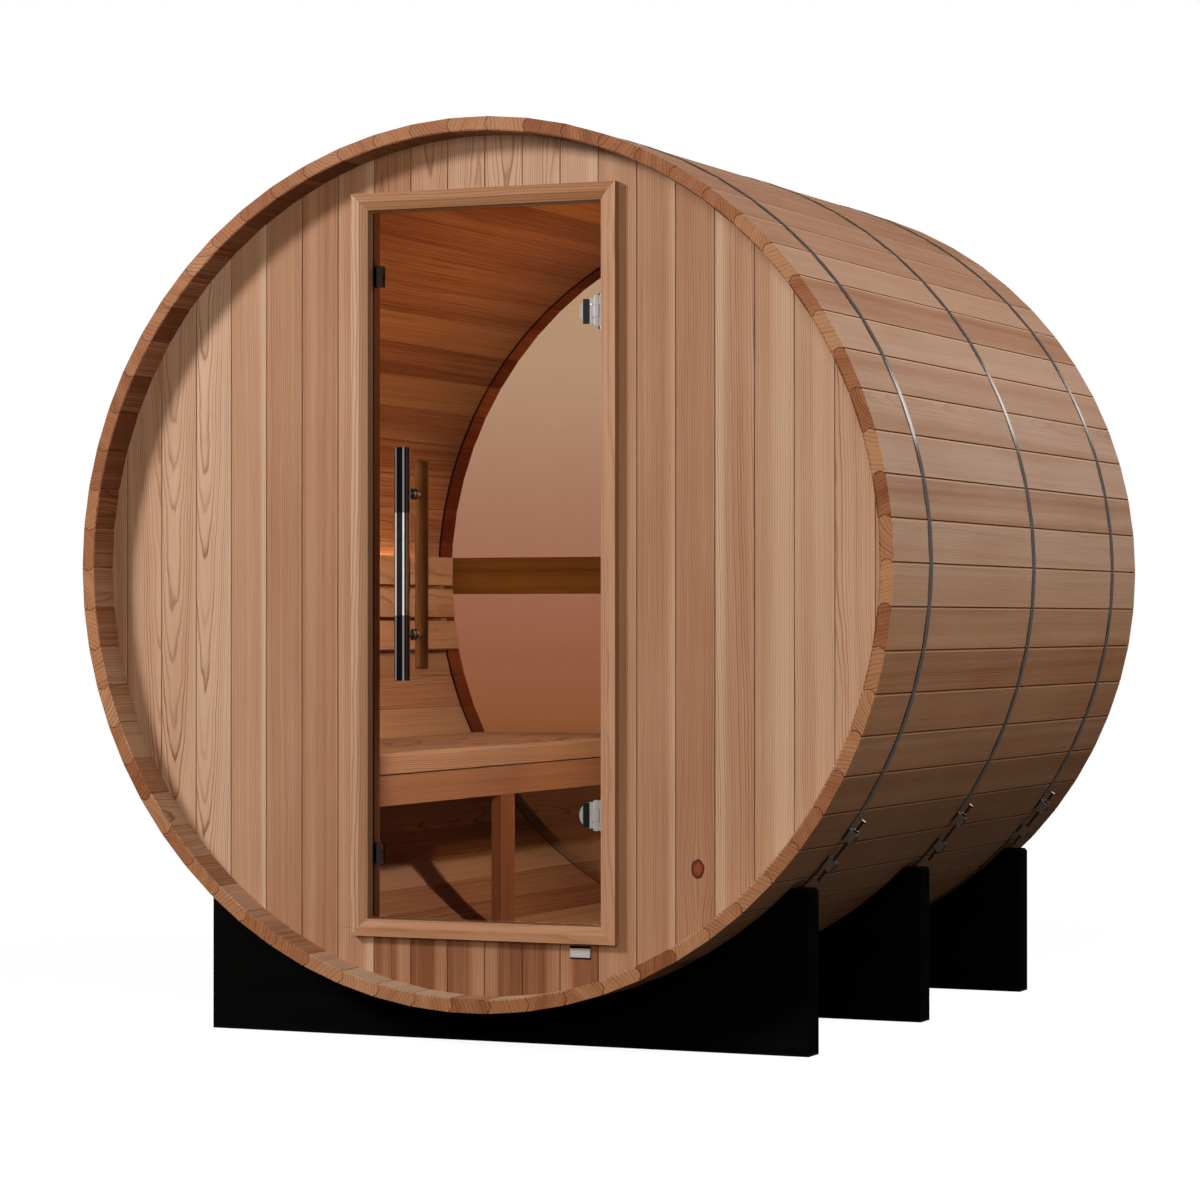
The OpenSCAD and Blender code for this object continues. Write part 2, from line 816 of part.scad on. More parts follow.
// Rail across the window, grooved for the two panes and scribed to the staves
module rear_rail() {
    color(cedar_dark)
        difference() {
            along(rail_y, rail_t)
                intersection() {
                    circle(r = inner_r - seat_gap);
                    square([through, rail_h], center = true);
                }
            for (side = [-1, 1])
                translate([-through / 2, rear_glass_y - seat_gap, axis_h + side * rail_h / 2 - rail_groove])
                    cube([through, rear_glass_t + 2 * seat_gap, 2 * rail_groove]);
        }
}

// Front slat in section, with a rounded top edge
module nosing_section() {
    translate([-bench_x - bench_slat_w, nosing_under])
        square([bench_slat_w - nosing_r, nosing_t]);
    translate([-bench_x - bench_slat_w, nosing_under])
        square([bench_slat_w, nosing_t - nosing_r]);
    translate([-bench_x - nosing_r, bench_top - nosing_r])
        circle(r = nosing_r);
}

// Bench slats from the front to the staves
module bench_slats() {
    color(cedar)
        along(bench_y, bench_l) {
            nosing_section();
            for (n = [1 : bench_slats_n - 1])
                translate([-bench_x - n * (bench_slat_w + bench_slat_gap) - bench_slat_w, slat_under])
                    square([bench_slat_w, bench_slat_t]);
        }
}

// Board under the front slat, carried by the bearers
module bench_apron() {
    color(cedar)
        along(bench_y, bench_l)
            translate([-bench_x - apron_t, apron_under])
                square([apron_t, apron_h]);
}

// Post under the apron, scribed to the staves
module bench_post() {
    color(cedar)
        along(front_y + bench_post_in - bench_post_w / 2, bench_post_w)
            intersection() {
                circle(r = inner_r - seat_gap);
                translate([-bench_x - apron_t, apron_under - seat_gap - barrel_r])
                    square([apron_t, barrel_r]);
            }
}

// Bearers from the apron to the staves, stepped under the front slat
module bench_bearers() {
    color(cedar_dark)
        for (y = bearer_ys)
            along(y, bearer_t)
                intersection() {
                    circle(r = inner_r - seat_gap);
                    union() {
                        translate([bearer_back_x - barrel_r, bearer_under])
                            square([barrel_r, bearer_h]);
                        translate([-bench_x - bench_slat_w - bench_slat_gap - barrel_r, bearer_under])
                            square([barrel_r, slat_under - seat_gap - bearer_under]);
                    }
                }
}

// Turns a section to the place of one backrest slat
module at_back_slat(n) {
    rotate(back_mid + (n - (back_slats_n - 1) / 2) * back_step)
        translate([back_r, 0])
            children();
}

// Slats that follow the round of the wall
module backrest_slats() {
    color(cedar)
        along(front_y + back_front_in, back_l)
            for (n = [0 : back_slats_n - 1])
                at_back_slat(n)
                    translate([-back_slat_t, -back_slat_h / 2])
                        square([back_slat_t, back_slat_h]);
}

// Cleats on the staves, notched for the slats
module backrest_cleats() {
    color(cedar)
        for (y = cleat_ys)
            along(y, cleat_t)
                difference() {
                    intersection() {
                        circle(r = inner_r - seat_gap);
                        rotate(back_mid)
                            polygon([
                                [0, 0],
                                [barrel_r, -barrel_r * tan(cleat_sweep)],
                                [barrel_r, barrel_r * tan(cleat_sweep)]
                            ]);
                    }
                    circle(r = back_r - back_let);
                    for (n = [0 : back_slats_n - 1])
                        at_back_slat(n)
                            translate([-back_stand, -back_slat_h / 2 - seat_gap])
                                square([back_stand + seat_gap, back_slat_h + 2 * seat_gap]);
                }
}

cradle_front();
cradle_middle();
cradle_rear();
staves_upper_right();
staves_top();
staves_upper_left();
staves_lower_left();
staves_bottom();
staves_lower_right();
band_front();
band_middle();
band_rear();
tension_bolt_front();
tension_bolt_middle();
tension_bolt_rear();
front_wall_left();
front_wall_right();
front_wall_over_door();
front_wall_under_door();
door_frame_left();
door_frame_right();
door_frame_top();
door_frame_bottom();
hinge_leaves();
catches();
door_glass();
hinge_clamps();
catch_strikes();
door_handle_outer();
door_handle_inner();
door_handle_posts();
rear_glass_upper();
rear_glass_lower();
rear_rail();
bench_slats();
bench_apron();
bench_post();
bench_bearers();
backrest_slats();
backrest_cleats();
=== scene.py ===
"""Looks of the barrel sauna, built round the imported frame.

Cedar is grown in the shader: every stave, board and slat gets its own cut of a log, worked out from
its place in the frame. Small fittings that the frame leaves out are meshes that ride on its bodies.
X is to the right seen from the front, Y runs from front to back, Z is up; lengths are in metres.
"""

import math

import bmesh
import bpy
from mathutils import Matrix, Vector


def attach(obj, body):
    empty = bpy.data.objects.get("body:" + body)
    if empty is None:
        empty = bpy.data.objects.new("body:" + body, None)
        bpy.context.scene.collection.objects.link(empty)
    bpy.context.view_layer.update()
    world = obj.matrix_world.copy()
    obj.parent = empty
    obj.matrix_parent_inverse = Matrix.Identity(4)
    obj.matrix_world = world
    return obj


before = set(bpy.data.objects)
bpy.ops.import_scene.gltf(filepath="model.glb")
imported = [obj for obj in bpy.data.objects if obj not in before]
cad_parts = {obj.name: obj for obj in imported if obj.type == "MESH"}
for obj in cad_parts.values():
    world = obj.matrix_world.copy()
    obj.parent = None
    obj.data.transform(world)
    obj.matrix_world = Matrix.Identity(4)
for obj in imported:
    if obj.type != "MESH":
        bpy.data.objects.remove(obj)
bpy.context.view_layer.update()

# Sizes repeated from the part's source
AXIS_H = 0.988
BARREL_R = 0.9145
STAVE_COUNT = 66
STAVE_STEP = 2 * math.pi / STAVE_COUNT
INNER_R = BARREL_R * math.cos(STAVE_STEP / 2) - 0.0285
MID_R = (BARREL_R + INNER_R / math.cos(STAVE_STEP / 2)) / 2
BARREL_HALF_L = 0.875
BEAD_R = 0.0135
BEAD_RISE = 0.006
BEAD_CHORD = math.sqrt(BEAD_R ** 2 - (BEAD_R - BEAD_RISE) ** 2)
JOINT_GAP = 0.0004
BOARD_W = 0.085
WALL_Y = -0.798
SHORT_BOARDS = 3
DOOR_Z = 0.991
DOOR_HALF_H = 0.738
HINGE_RISE = 0.512
CLAMP_X = 0.2135
CLAMP_H = 0.054
CLAMP_FRONT_Y = -0.7993
REAR_GLASS_Y = 0.794
REAR_GLASS_BACK_Y = 0.802
RAIL_HALF_H = 0.0445
HANDLE_GRIP = 0.106
BENCH_X = -0.280
BENCH_PITCH = 0.0946
BACK_SLAT_Z = 0.835
BACK_SLAT_PITCH = 0.082

# Camera fitted to the front rim and to the rear outline in the photo
CAMERA_AT = (3.2658, -7.6841, 0.8728)
CAMERA_AZIMUTH = math.radians(23.589)
CAMERA_ELEVATION = math.radians(-0.314)
CAMERA_LENS = 110.88

# Axes by number, as place functions and materials take them
X, Y, Z = range(3)


def srgb(red, green, blue):
    """Linear colour, with alpha, from 8-bit display values."""
    linear = []
    for channel in (red, green, blue):
        c = channel / 255
        linear.append(c / 12.92 if c <= 0.04045 else ((c + 0.055) / 1.055) ** 2.4)
    return (*linear, 1.0)


class Value:
    """A number that a shader works out. Arithmetic on it adds Math nodes to its graph."""

    def __init__(self, graph, socket):
        self.graph = graph
        self.socket = socket

    def _math(self, operation, *values):
        return self.graph.math(operation, *values)

    def __add__(self, other):
        return self._math("ADD", self, other)

    __radd__ = __add__

    def __sub__(self, other):
        return self._math("SUBTRACT", self, other)

    def __rsub__(self, other):
        return self._math("SUBTRACT", other, self)

    def __mul__(self, other):
        return self._math("MULTIPLY", self, other)

    __rmul__ = __mul__

    def __truediv__(self, other):
        return self._math("DIVIDE", self, other)

    def __neg__(self):
        return self._math("MULTIPLY", self, -1.0)

    def apply(self, operation):
        return self._math(operation, self)

    def below(self, other):
        return self._math("LESS_THAN", self, other)

    def above(self, other):
        return self._math("GREATER_THAN", self, other)

    def smooth(self, low, high):
        """0 at low and 1 at high, with an eased step between; low may be the larger."""
        made = self.graph.node("ShaderNodeMapRange", interpolation_type="SMOOTHSTEP", clamp=True)
        self.graph.feed(made.inputs["Value"], self)
        made.inputs["From Min"].default_value = low
        made.inputs["From Max"].default_value = high
        return Value(self.graph, made.outputs[0])


class Graph:
    """Makes and links the nodes of one tree."""

    def __init__(self, tree):
        self.tree = tree

    def node(self, kind, **settings):
        made = self.tree.nodes.new(kind)
        for key, value in settings.items():
            setattr(made, key, value)
        return made

    def feed(self, socket, value):
        if isinstance(value, Value):
            self.tree.links.new(value.socket, socket)
        elif isinstance(value, bpy.types.NodeSocket):
            self.tree.links.new(value, socket)
        else:
            socket.default_value = value

    def math(self, operation, *values):
        made = self.node("ShaderNodeMath", operation=operation)
        for socket, value in zip(made.inputs, values):
            self.feed(socket, value)
        return Value(self, made.outputs[0])

    def object_place(self):
        """Place on the object as three values, which is the row frame for every piece here."""
        made = self.node("ShaderNodeTexCoord")
        split = self.node("ShaderNodeSeparateXYZ")
        self.feed(split.inputs[0], made.outputs["Object"])
        return [Value(self, socket) for socket in split.outputs]

    def object_normal(self):
        made = self.node("ShaderNodeTexCoord")
        split = self.node("ShaderNodeSeparateXYZ")
        self.feed(split.inputs[0], made.outputs["Normal"])
        return [Value(self, socket) for socket in split.outputs]

    def vector(self, x, y, z):
        made = self.node("ShaderNodeCombineXYZ")
        for socket, value in zip(made.inputs, (x, y, z)):
            self.feed(socket, value)
        return made.outputs[0]

    def noise(self, x, y, z, detail=2.0, roughness=0.5):
        made = self.node("ShaderNodeTexNoise", noise_dimensions="3D")
        self.feed(made.inputs["Vector"], self.vector(x, y, z))
        made.inputs["Scale"].default_value = 1.0
        made.inputs["Detail"].default_value = detail
        made.inputs["Roughness"].default_value = roughness
        return Value(self, made.outputs[0])

    def wave(self, w, detail=2.0):
        """Smooth noise along one number."""
        made = self.node("ShaderNodeTexNoise", noise_dimensions="1D")
        self.feed(made.inputs["W"], w)
        made.inputs["Scale"].default_value = 1.0
        made.inputs["Detail"].default_value = detail
        return Value(self, made.outputs[0])

    def chances(self, seed):
        """Three random numbers from 0 to 1 that belong to a seed."""
        made = self.node("ShaderNodeTexWhiteNoise", noise_dimensions="1D")
        self.feed(made.inputs["W"], seed)
        split = self.node("ShaderNodeSeparateColor")
        self.feed(split.inputs[0], made.outputs["Color"])
        return [Value(self, socket) for socket in split.outputs]

    def ramp(self, factor, stops, interpolation="LINEAR"):
        made = self.node("ShaderNodeValToRGB")
        made.color_ramp.interpolation = interpolation
        elements = made.color_ramp.elements
        while len(elements) < len(stops):
            elements.new(1.0)
        for element, (position, color) in zip(elements, stops):
            element.position = position
            element.color = color if hasattr(color, "__len__") else (color, color, color, 1.0)
        self.feed(made.inputs[0], factor)
        return made.outputs["Color"]

    def level(self, factor, stops, interpolation="LINEAR"):
        """A ramp of plain numbers."""
        return Value(self, self.ramp(factor, stops, interpolation))

    def mix(self, factor, a, b, blend="MIX"):
        made = self.node("ShaderNodeMix", data_type="RGBA", blend_type=blend)
        sockets = {socket.identifier: socket for socket in made.inputs}
        self.feed(sockets["Factor_Float"], factor)
        self.feed(sockets["A_Color"], a)
        self.feed(sockets["B_Color"], b)
        return next(socket for socket in made.outputs if socket.identifier == "Result_Color")

    def bump(self, height, distance, strength=1.0):
        made = self.node("ShaderNodeBump")
        made.inputs["Strength"].default_value = strength
        made.inputs["Distance"].default_value = distance
        self.feed(made.inputs["Height"], height)
        return made.outputs["Normal"]


def new_material(name, **settings):
    """Material with one Principled shader; settings are its constant inputs, by name."""
    material = bpy.data.materials.new(name)
    material.use_nodes = True
    shader = material.node_tree.nodes["Principled BSDF"]
    for key, value in settings.items():
        shader.inputs[key.replace("_", " ")].default_value = value
    return material, Graph(material.node_tree), shader


# Cedar, from pale sapwood to dark heartwood
CEDAR_TONES = [
    (0.0, srgb(200, 170, 144)),
    (0.28, srgb(189, 153, 126)),
    (0.5, srgb(174, 132, 103)),
    (0.74, srgb(154, 107, 77)),
    (1.0, srgb(120, 74, 47)),
]
# Darkness across one growth ring, from earlywood to latewood
RING_PROFILE = [
    (0.0, 0.3), (0.1, 0.03), (0.48, 0.0), (0.72, 0.22), (0.9, 1.0), (0.975, 0.9), (1.0, 0.3),
]
LATEWOOD = srgb(160, 121, 91)
END_GRAIN = srgb(234, 212, 188)
JOINT_SHADE = srgb(146, 108, 86)
# Painted highlight along the eased edge under each stave joint
EDGE_HIGHLIGHT = srgb(216, 176, 136)
# Painted light on the outside of the staves: a cool cast on the upper ones and a warm cast on the lower
# ones
PAINTED_SKYLIGHT_CAST = (0.93, 0.985, 1.06, 1.0)
PAINTED_WARM_SHADE_CAST = (1.0, 0.92, 0.78, 1.0)

# How rings lie: their least gap and its spread, the depth of the pith under the face and its spread,
# how far aside the pith of a quarter-sawn board lies, and how far rings sway, wander and ripple
RING_GAP, RING_GAP_SPREAD = 0.0026, 0.0014
PITH_DEPTH, PITH_SPREAD = 0.032, 0.025
QUARTER_SHIFT = 0.17
SWAY, WANDER, RIPPLE = 0.016, 0.009, 0.0042
GRAIN_RELIEF = 0.00035

# Offsets that keep the random numbers of one kind of board apart from those of another
END_SEED = 211.0
STAVE_SEED = 61.0
MEMBER_SEED = 23.0
WALL_SEED = 140.0


def grow_cedar(g, across, depth, along, seed, tone, flat, taper, apex, contrast, coarse, vivid=0.0):
    """Colour, roughness and height of cedar at a place in a board.

    across, depth and along are the place in the board, tone runs from sapwood to heartwood, and flat
    from a quarter-sawn board, with straight lines, to a flat-sawn one, with arches. taper is how fast
    the board runs away from the pith, and apex is where the arches have their tips across it. coarse
    widens the rings, and vivid is 1 where the streaks are strong.
    """
    side, pith_chance, spacing_chance = g.chances(seed)
    sign = side.above(0.5) * 2.0 - 1.0
    shift = seed * 7.31

    # Growth rings round a pith that the board runs away from
    sway = g.noise(across * 2.0, along * 0.9 + shift, depth * 2.0, detail=1.0) - 0.5
    ripple = g.noise(across * 46.0, along * 9.0 + shift, depth * 46.0, detail=2.0) - 0.5
    wander = g.noise(across * 5.0, along * 3.4 + shift, depth * 5.0, detail=1.0) - 0.5
    from_across = across - apex - sign * (1.0 - flat) * QUARTER_SHIFT
    from_depth = depth + pith_chance * PITH_SPREAD + PITH_DEPTH
    radius = (from_across * from_across + from_depth * from_depth).apply("SQRT")
    radius = radius + sway * SWAY + wander * WANDER + ripple * RIPPLE
    radius = radius + along * taper * (flat * 0.85 + 0.15)
    gap = (spacing_chance * RING_GAP_SPREAD + RING_GAP) * (coarse + 1.6 - flat * 0.6)
    turns = radius / gap
    ring = turns.apply("FLOOR")
    ring_chance, _, _ = g.chances(ring + seed * 3.7)
    line = g.level(turns - ring, RING_PROFILE) * (ring_chance * 0.75 + 0.25) * (flat * 0.4 + 0.6)

    # Broad bands of sapwood and heartwood, fine fibre and soft blotches
    band = g.wave(radius * 34.0 + seed * 5.3, detail=1.0) - 0.5
    fibre = g.noise(across * 620.0, along * 7.0 + shift, depth * 620.0, roughness=0.65) - 0.5
    streak = g.noise(across * 170.0, along * 1.1 + shift, depth * 170.0, 3.0, 0.6) - 0.5
    blotch = g.noise(across * 8.0 + shift, along * 2.4, depth * 8.0, detail=1.0) - 0.5
    streaks = streak * (vivid * 0.8 + 0.24)
    shade = tone + band * (pith_chance * 0.3 + 0.15) + streaks + fibre * 0.26 + blotch * 0.2
    color = g.ramp(shade, CEDAR_TONES)
    color = g.mix(line * contrast, color, LATEWOOD, blend="MULTIPLY")
    roughness = fibre * 0.22 + 0.58 - line * 0.06
    height = fibre * 0.7 - line * 0.5
    return color, roughness, height


def wood_material(name, place, grain_axis, contrast=0.8, end_spread=0.0, tint=None):
    """Cedar material; place gives the board's own coordinates and nature from a place on the object.

    contrast is how dark the ring lines are, end_spread is how much the tones of cut ends differ from
    board to board, and tint is a colour that the whole piece is multiplied by.
    """
    material, g, shader = new_material(name, Specular_IOR_Level=0.15)
    board = place(g, *g.object_place())
    joint = board.pop("joint", None)
    end = g.object_normal()[grain_axis].apply("ABSOLUTE").smooth(0.6, 0.8)
    wear_and_highlight = board.pop("wear_and_highlight", None)
    contrast = board.pop("contrast", contrast)
    cast = board.pop("cast", None)
    if end_spread:
        chance, _, _ = g.chances(board["seed"] + END_SEED)
        pores = g.noise(*[axis * 900.0 for axis in g.object_place()], detail=1.0) - 0.5
        board["tone"] = board["tone"] + end * ((chance - 0.3) * end_spread + pores * 0.5)
    color, roughness, height = grow_cedar(g, contrast=end * 0.7 + contrast, coarse=end * 0.9, **board)
    color = g.mix(end, color, END_GRAIN, blend="MULTIPLY")
    # Painted light: the outside of the staves is tinted cool up high and warm low down, for cool light
    # from above and warm shade below
    if cast:
        outdoors, low = cast
        painted_light_cast = g.mix(low, PAINTED_SKYLIGHT_CAST, PAINTED_WARM_SHADE_CAST)
        color = g.mix(outdoors * (1.0 - end), color, painted_light_cast, blend="MULTIPLY")
    # Painted highlight: a pale line along the eased edge just under each joint
    if wear_and_highlight:
        color = g.mix(wear_and_highlight * (1.0 - end), color, EDGE_HIGHLIGHT)
    if joint:
        color = g.mix(1.0 - joint, color, JOINT_SHADE, blend="MULTIPLY")
    if tint:
        color = g.mix(1.0, color, tint, blend="MULTIPLY")
    g.feed(shader.inputs["Base Color"], color)
    g.feed(shader.inputs["Roughness"], roughness)
    g.feed(shader.inputs["Normal"], g.bump(height, GRAIN_RELIEF, 0.55))
    return material


# Distances over which lines on a stave fade: the dark line along its joint, the line round its bead on
# the cut ends, and the painted highlight along the eased edge, which lies a little under the joint
JOINT_LINE = (0.0007, 0.0022)
BEAD_LINE = (0.0002, 0.0013)
EDGE_HIGHLIGHT_AT = 0.0034
EDGE_HIGHLIGHT_LINE = (0.0018, 0.0006)


def stave_place(g, x, y, z):
    """Finds the stave, with its bead, that a place on the barrel belongs to."""
    rise = z - AXIS_H
    radius = (x * x + rise * rise).apply("SQRT")
    turn = g.math("ARCTAN2", rise, x) / STAVE_STEP
    joint = turn.apply("ROUND")
    from_joint = (turn - joint) * STAVE_STEP
    out = radius * from_joint.apply("COSINE")
    aside = radius * from_joint.apply("SINE")
    bead_out = out - MID_R
    bead_aside = aside + (BEAD_R - BEAD_RISE)
    from_bead = (bead_out * bead_out + bead_aside * bead_aside).apply("SQRT")
    from_bead = from_bead - (BEAD_R + JOINT_GAP / 2)
    stave = joint - 1.0 + aside.above(0.0) * from_bead.above(0.0)
    on_bead = bead_out.apply("ABSOLUTE").below(BEAD_CHORD)
    flank = g.math("MAXIMUM", aside.apply("ABSOLUTE").smooth(*JOINT_LINE), bead_out.below(0.0))
    arc = g.math("MAXIMUM", from_bead.apply("ABSOLUTE").smooth(*BEAD_LINE), aside.below(0.0))
    seed = g.math("FLOORED_MODULO", stave + 0.25, float(STAVE_COUNT)).apply("FLOOR") + 3.0
    tone_chance, flat_chance, taper_chance = g.chances(seed + STAVE_SEED)
    inside = bead_out.below(INNER_R - MID_R + 0.003)
    level = rise / BARREL_R
    low = level.smooth(-0.05, -0.5)
    # Painted highlight along the eased edge just under each joint, on the outside only
    below_joint = -(aside * x.apply("SIGN"))
    wear_and_highlight = (below_joint - EDGE_HIGHLIGHT_AT).apply("ABSOLUTE").smooth(*EDGE_HIGHLIGHT_LINE)
    # Painted shadow: the inside of each rim, in front of the wall and behind the rear glass, is darker
    # towards its top
    rim = inside * y.apply("ABSOLUTE").above(-WALL_Y) * level.smooth(-0.5, 0.3)
    # Outside, the staves are darker towards the top and towards the foot of the barrel
    top_and_foot_darkening = level.smooth(0.1, 1.0) * 0.16 + low * 0.16
    tone_range = inside * 0.42 + low * 0.1 + 0.24
    outdoors = (1.0 - inside) * y.apply("ABSOLUTE").below(BARREL_HALF_L - 0.0005)
    tone = tone_chance * tone_range + top_and_foot_darkening * outdoors - inside * (low * 0.3 + 0.1)
    return {
        "across": radius * (turn - stave - 0.5) * STAVE_STEP,
        "depth": BARREL_R - radius,
        "along": y,
        "seed": seed,
        "tone": tone + rim * 0.3 + 0.34,
        "flat": flat_chance.smooth(0.4, 0.95) * 0.8,
        "taper": (taper_chance.above(0.5) - 0.5) * 0.03 + (taper_chance - 0.5) * 0.012,
        "apex": (tone_chance - 0.5) * 0.04,
        "vivid": inside,
        "wear_and_highlight": wear_and_highlight * (1.0 - inside) * (low * 0.3 + 0.55),
        # Painted light: where the cool and the warm cast go, on the outside only
        "cast": (1.0 - inside, level.smooth(0.25, -0.35)),
        "contrast": inside * 0.6 + 0.3,
        "joint": flank + on_bead * (arc - flank),
    }


# Front wall boards from left to right, with those under the door last: heartwood tone, flatness of
# the cut, share of the width that is a pale stripe on the right, or on the left where it is below
# nothing, how the board runs away from the pith, and where the arches have their tips
WALL_BOARDS = [
    (0.48, 0.10, 0.0, 0.02, 0.0), (0.40, 1.00, 0.0, -0.020, 0.045), (0.36, 1.00, 0.0, -0.032, -0.012),
    (0.25, 1.00, 0.0, -0.028, -0.022), (0.46, 0.15, 0.12, 0.02, 0.0), (0.60, 0.25, 0.0, 0.02, 0.0),
    (0.64, 0.00, 0.0, 0.02, 0.0), (0.56, 0.10, 0.20, 0.02, 0.0),
    (0.68, 0.80, 0.0, -0.02, 0.01), (0.48, 1.00, 0.0, -0.022, 0.0), (0.34, 0.90, 0.0, 0.024, 0.01),
    (0.32, 0.90, 0.0, -0.022, -0.01), (0.32, 0.80, 0.0, 0.02, 0.0), (0.40, 0.30, 0.25, 0.02, 0.0),
    (0.54, 0.10, 0.0, 0.02, 0.0), (0.58, 0.05, 0.14, 0.02, 0.0), (0.62, 0.20, 0.0, 0.02, 0.0),
    (0.49, 0.70, -0.25, -0.020, 0.030), (0.46, 0.20, 0.55, 0.02, 0.0), (0.34, 0.35, 0.0, 0.02, 0.0),
    (0.34, 0.70, 0.0, 0.024, 0.0), (0.45, 0.10, 0.0, 0.02, 0.0),
    (0.88, 0.10, 0.36, 0.02, 0.0), (0.98, 0.30, 0.36, 0.02, 0.0), (0.90, 0.20, 0.36, 0.02, 0.0),
    (0.98, 0.10, -0.32, 0.02, 0.0), (0.96, 0.30, 0.36, 0.02, 0.0), (0.90, 0.10, -0.32, 0.02, 0.0),
]
FIRST_BOARD = -11
UNDER_DOOR_SKIP = 14
KNOT_X, KNOT_Z = 0.473, 0.376
KNOT_W, KNOT_H = 0.0145, 0.020
KNOT_REACH_W, KNOT_REACH_H = 0.03, 0.07
GROOVE_LINE = (0.0004, 0.0012)


def board_level(g, number, column):
    """Looks up a number for a wall board; a ramp holds no number below nothing, so they are folded."""
    count = len(WALL_BOARDS)
    stops = [(n / count, 0.5 + board[column] / 2) for n, board in enumerate(WALL_BOARDS)]
    return g.level((number + 0.5) / count, stops, "CONSTANT") * 2.0 - 1.0


def wall_place(g, x, y, z):
    """Finds the front wall board that a place belongs to; boards over and under the door differ."""
    board = (x / BOARD_W).apply("FLOOR")
    middle = (board + 0.5) * BOARD_W
    aside = x - KNOT_X
    above = z - KNOT_Z
    reach = aside * aside / KNOT_REACH_W ** 2 + above * above / KNOT_REACH_H ** 2
    part = (-reach).apply("EXPONENT") * 0.8
    short = x.apply("ABSOLUTE").below(SHORT_BOARDS * BOARD_W)
    number = board - FIRST_BOARD + short * z.below(AXIS_H) * UNDER_DOOR_SKIP
    tone, flat, stripe, taper, apex = (board_level(g, number, column) for column in range(5))
    edge = (x - middle) * stripe.apply("SIGN") / BOARD_W + stripe.apply("ABSOLUTE")
    groove = (BOARD_W / 2 - (x - middle).apply("ABSOLUTE")).smooth(*GROOVE_LINE)
    return {
        "across": x - aside * part - middle,
        "depth": y - WALL_Y,
        "along": z,
        "seed": number + WALL_SEED,
        "tone": tone - edge.smooth(0.40, 0.60) * 0.26,
        "flat": flat,
        "taper": taper,
        "apex": apex,
        "joint": groove * 0.7 + 0.3,
    }


def wall_material():
    """Front wall cedar with its one knot."""
    material = wood_material("cedar_wall", wall_place, Z, contrast=0.85)
    g = Graph(material.node_tree)
    shader = material.node_tree.nodes["Principled BSDF"]
    wood = shader.inputs["Base Color"].links[0].from_socket
    x, _, z = g.object_place()
    aside = (x - KNOT_X) / KNOT_W
    above = (z - KNOT_Z) / KNOT_H
    ragged = g.noise(x * 90.0, z * 90.0, 0.0) * 0.22
    reach = (aside * aside + above * above).apply("SQRT") + ragged
    knot = g.ramp(reach, [
        (0.0, srgb(140, 72, 44)), (0.55, srgb(128, 62, 36)),
        (0.86, srgb(104, 48, 28)), (0.98, srgb(58, 28, 20)),
    ])
    crack = (aside * 1.6 - above - 1.45).apply("ABSOLUTE").below(0.09) * above.below(-0.35)
    knot = g.mix(crack, knot, srgb(24, 15, 12))
    g.feed(shader.inputs["Base Color"], g.mix(reach.smooth(1.16, 1.02), wood, knot))
    return material


def straight_place(grain_axis, across_axis, depth_axis, seed, tone, flat=0.15, pitch=None, start=0.0):
    """Place function for straight members along one axis, told apart by a pitch across where given."""
    def place(g, *xyz):
        across = xyz[across_axis]
        if pitch:
            count = ((across - start) / pitch).apply("FLOOR")
            across = across - start - (count + 0.5) * pitch
            number = count + seed
        else:
            number = xyz[0] * 0.0 + seed
        chance = g.chances(number + MEMBER_SEED)[0]
        return {
            "across": across,
            "depth": xyz[depth_axis],
            "along": xyz[grain_axis],
            "seed": number,
            "tone": chance * 0.14 + (tone - 0.07),
            "flat": flat,
            "taper": 0.018,
            "apex": 0.0,
        }
    return place


def black_wood_material():
    """Plank stained black, with the grain just showing."""
    material, g, shader = new_material("black_stained_wood", Specular_IOR_Level=0.04)
    x, y, z = g.object_place()
    grain = g.noise(x * 5.0, y * 160.0, z * 210.0, detail=3.0, roughness=0.6)
    wide = g.noise(x * 1.2, y * 22.0, z * 26.0, detail=2.0)
    shade = grain * 0.6 + wide * 0.4
    color = g.ramp(shade, [(0.3, srgb(2, 2, 2)), (0.55, srgb(5, 4, 3)), (0.75, srgb(14, 11, 10))])
    g.feed(shader.inputs["Base Color"], color)
    g.feed(shader.inputs["Roughness"], grain * 0.3 + 0.52)
    g.feed(shader.inputs["Normal"], g.bump(grain, 0.0006, 0.5))
    return material


# How far lugs stand off the barrel at least, and how far the outer handle stands off the clamps
LUG_CLEAR = 0.004
HANDLE_CLEAR = 0.016


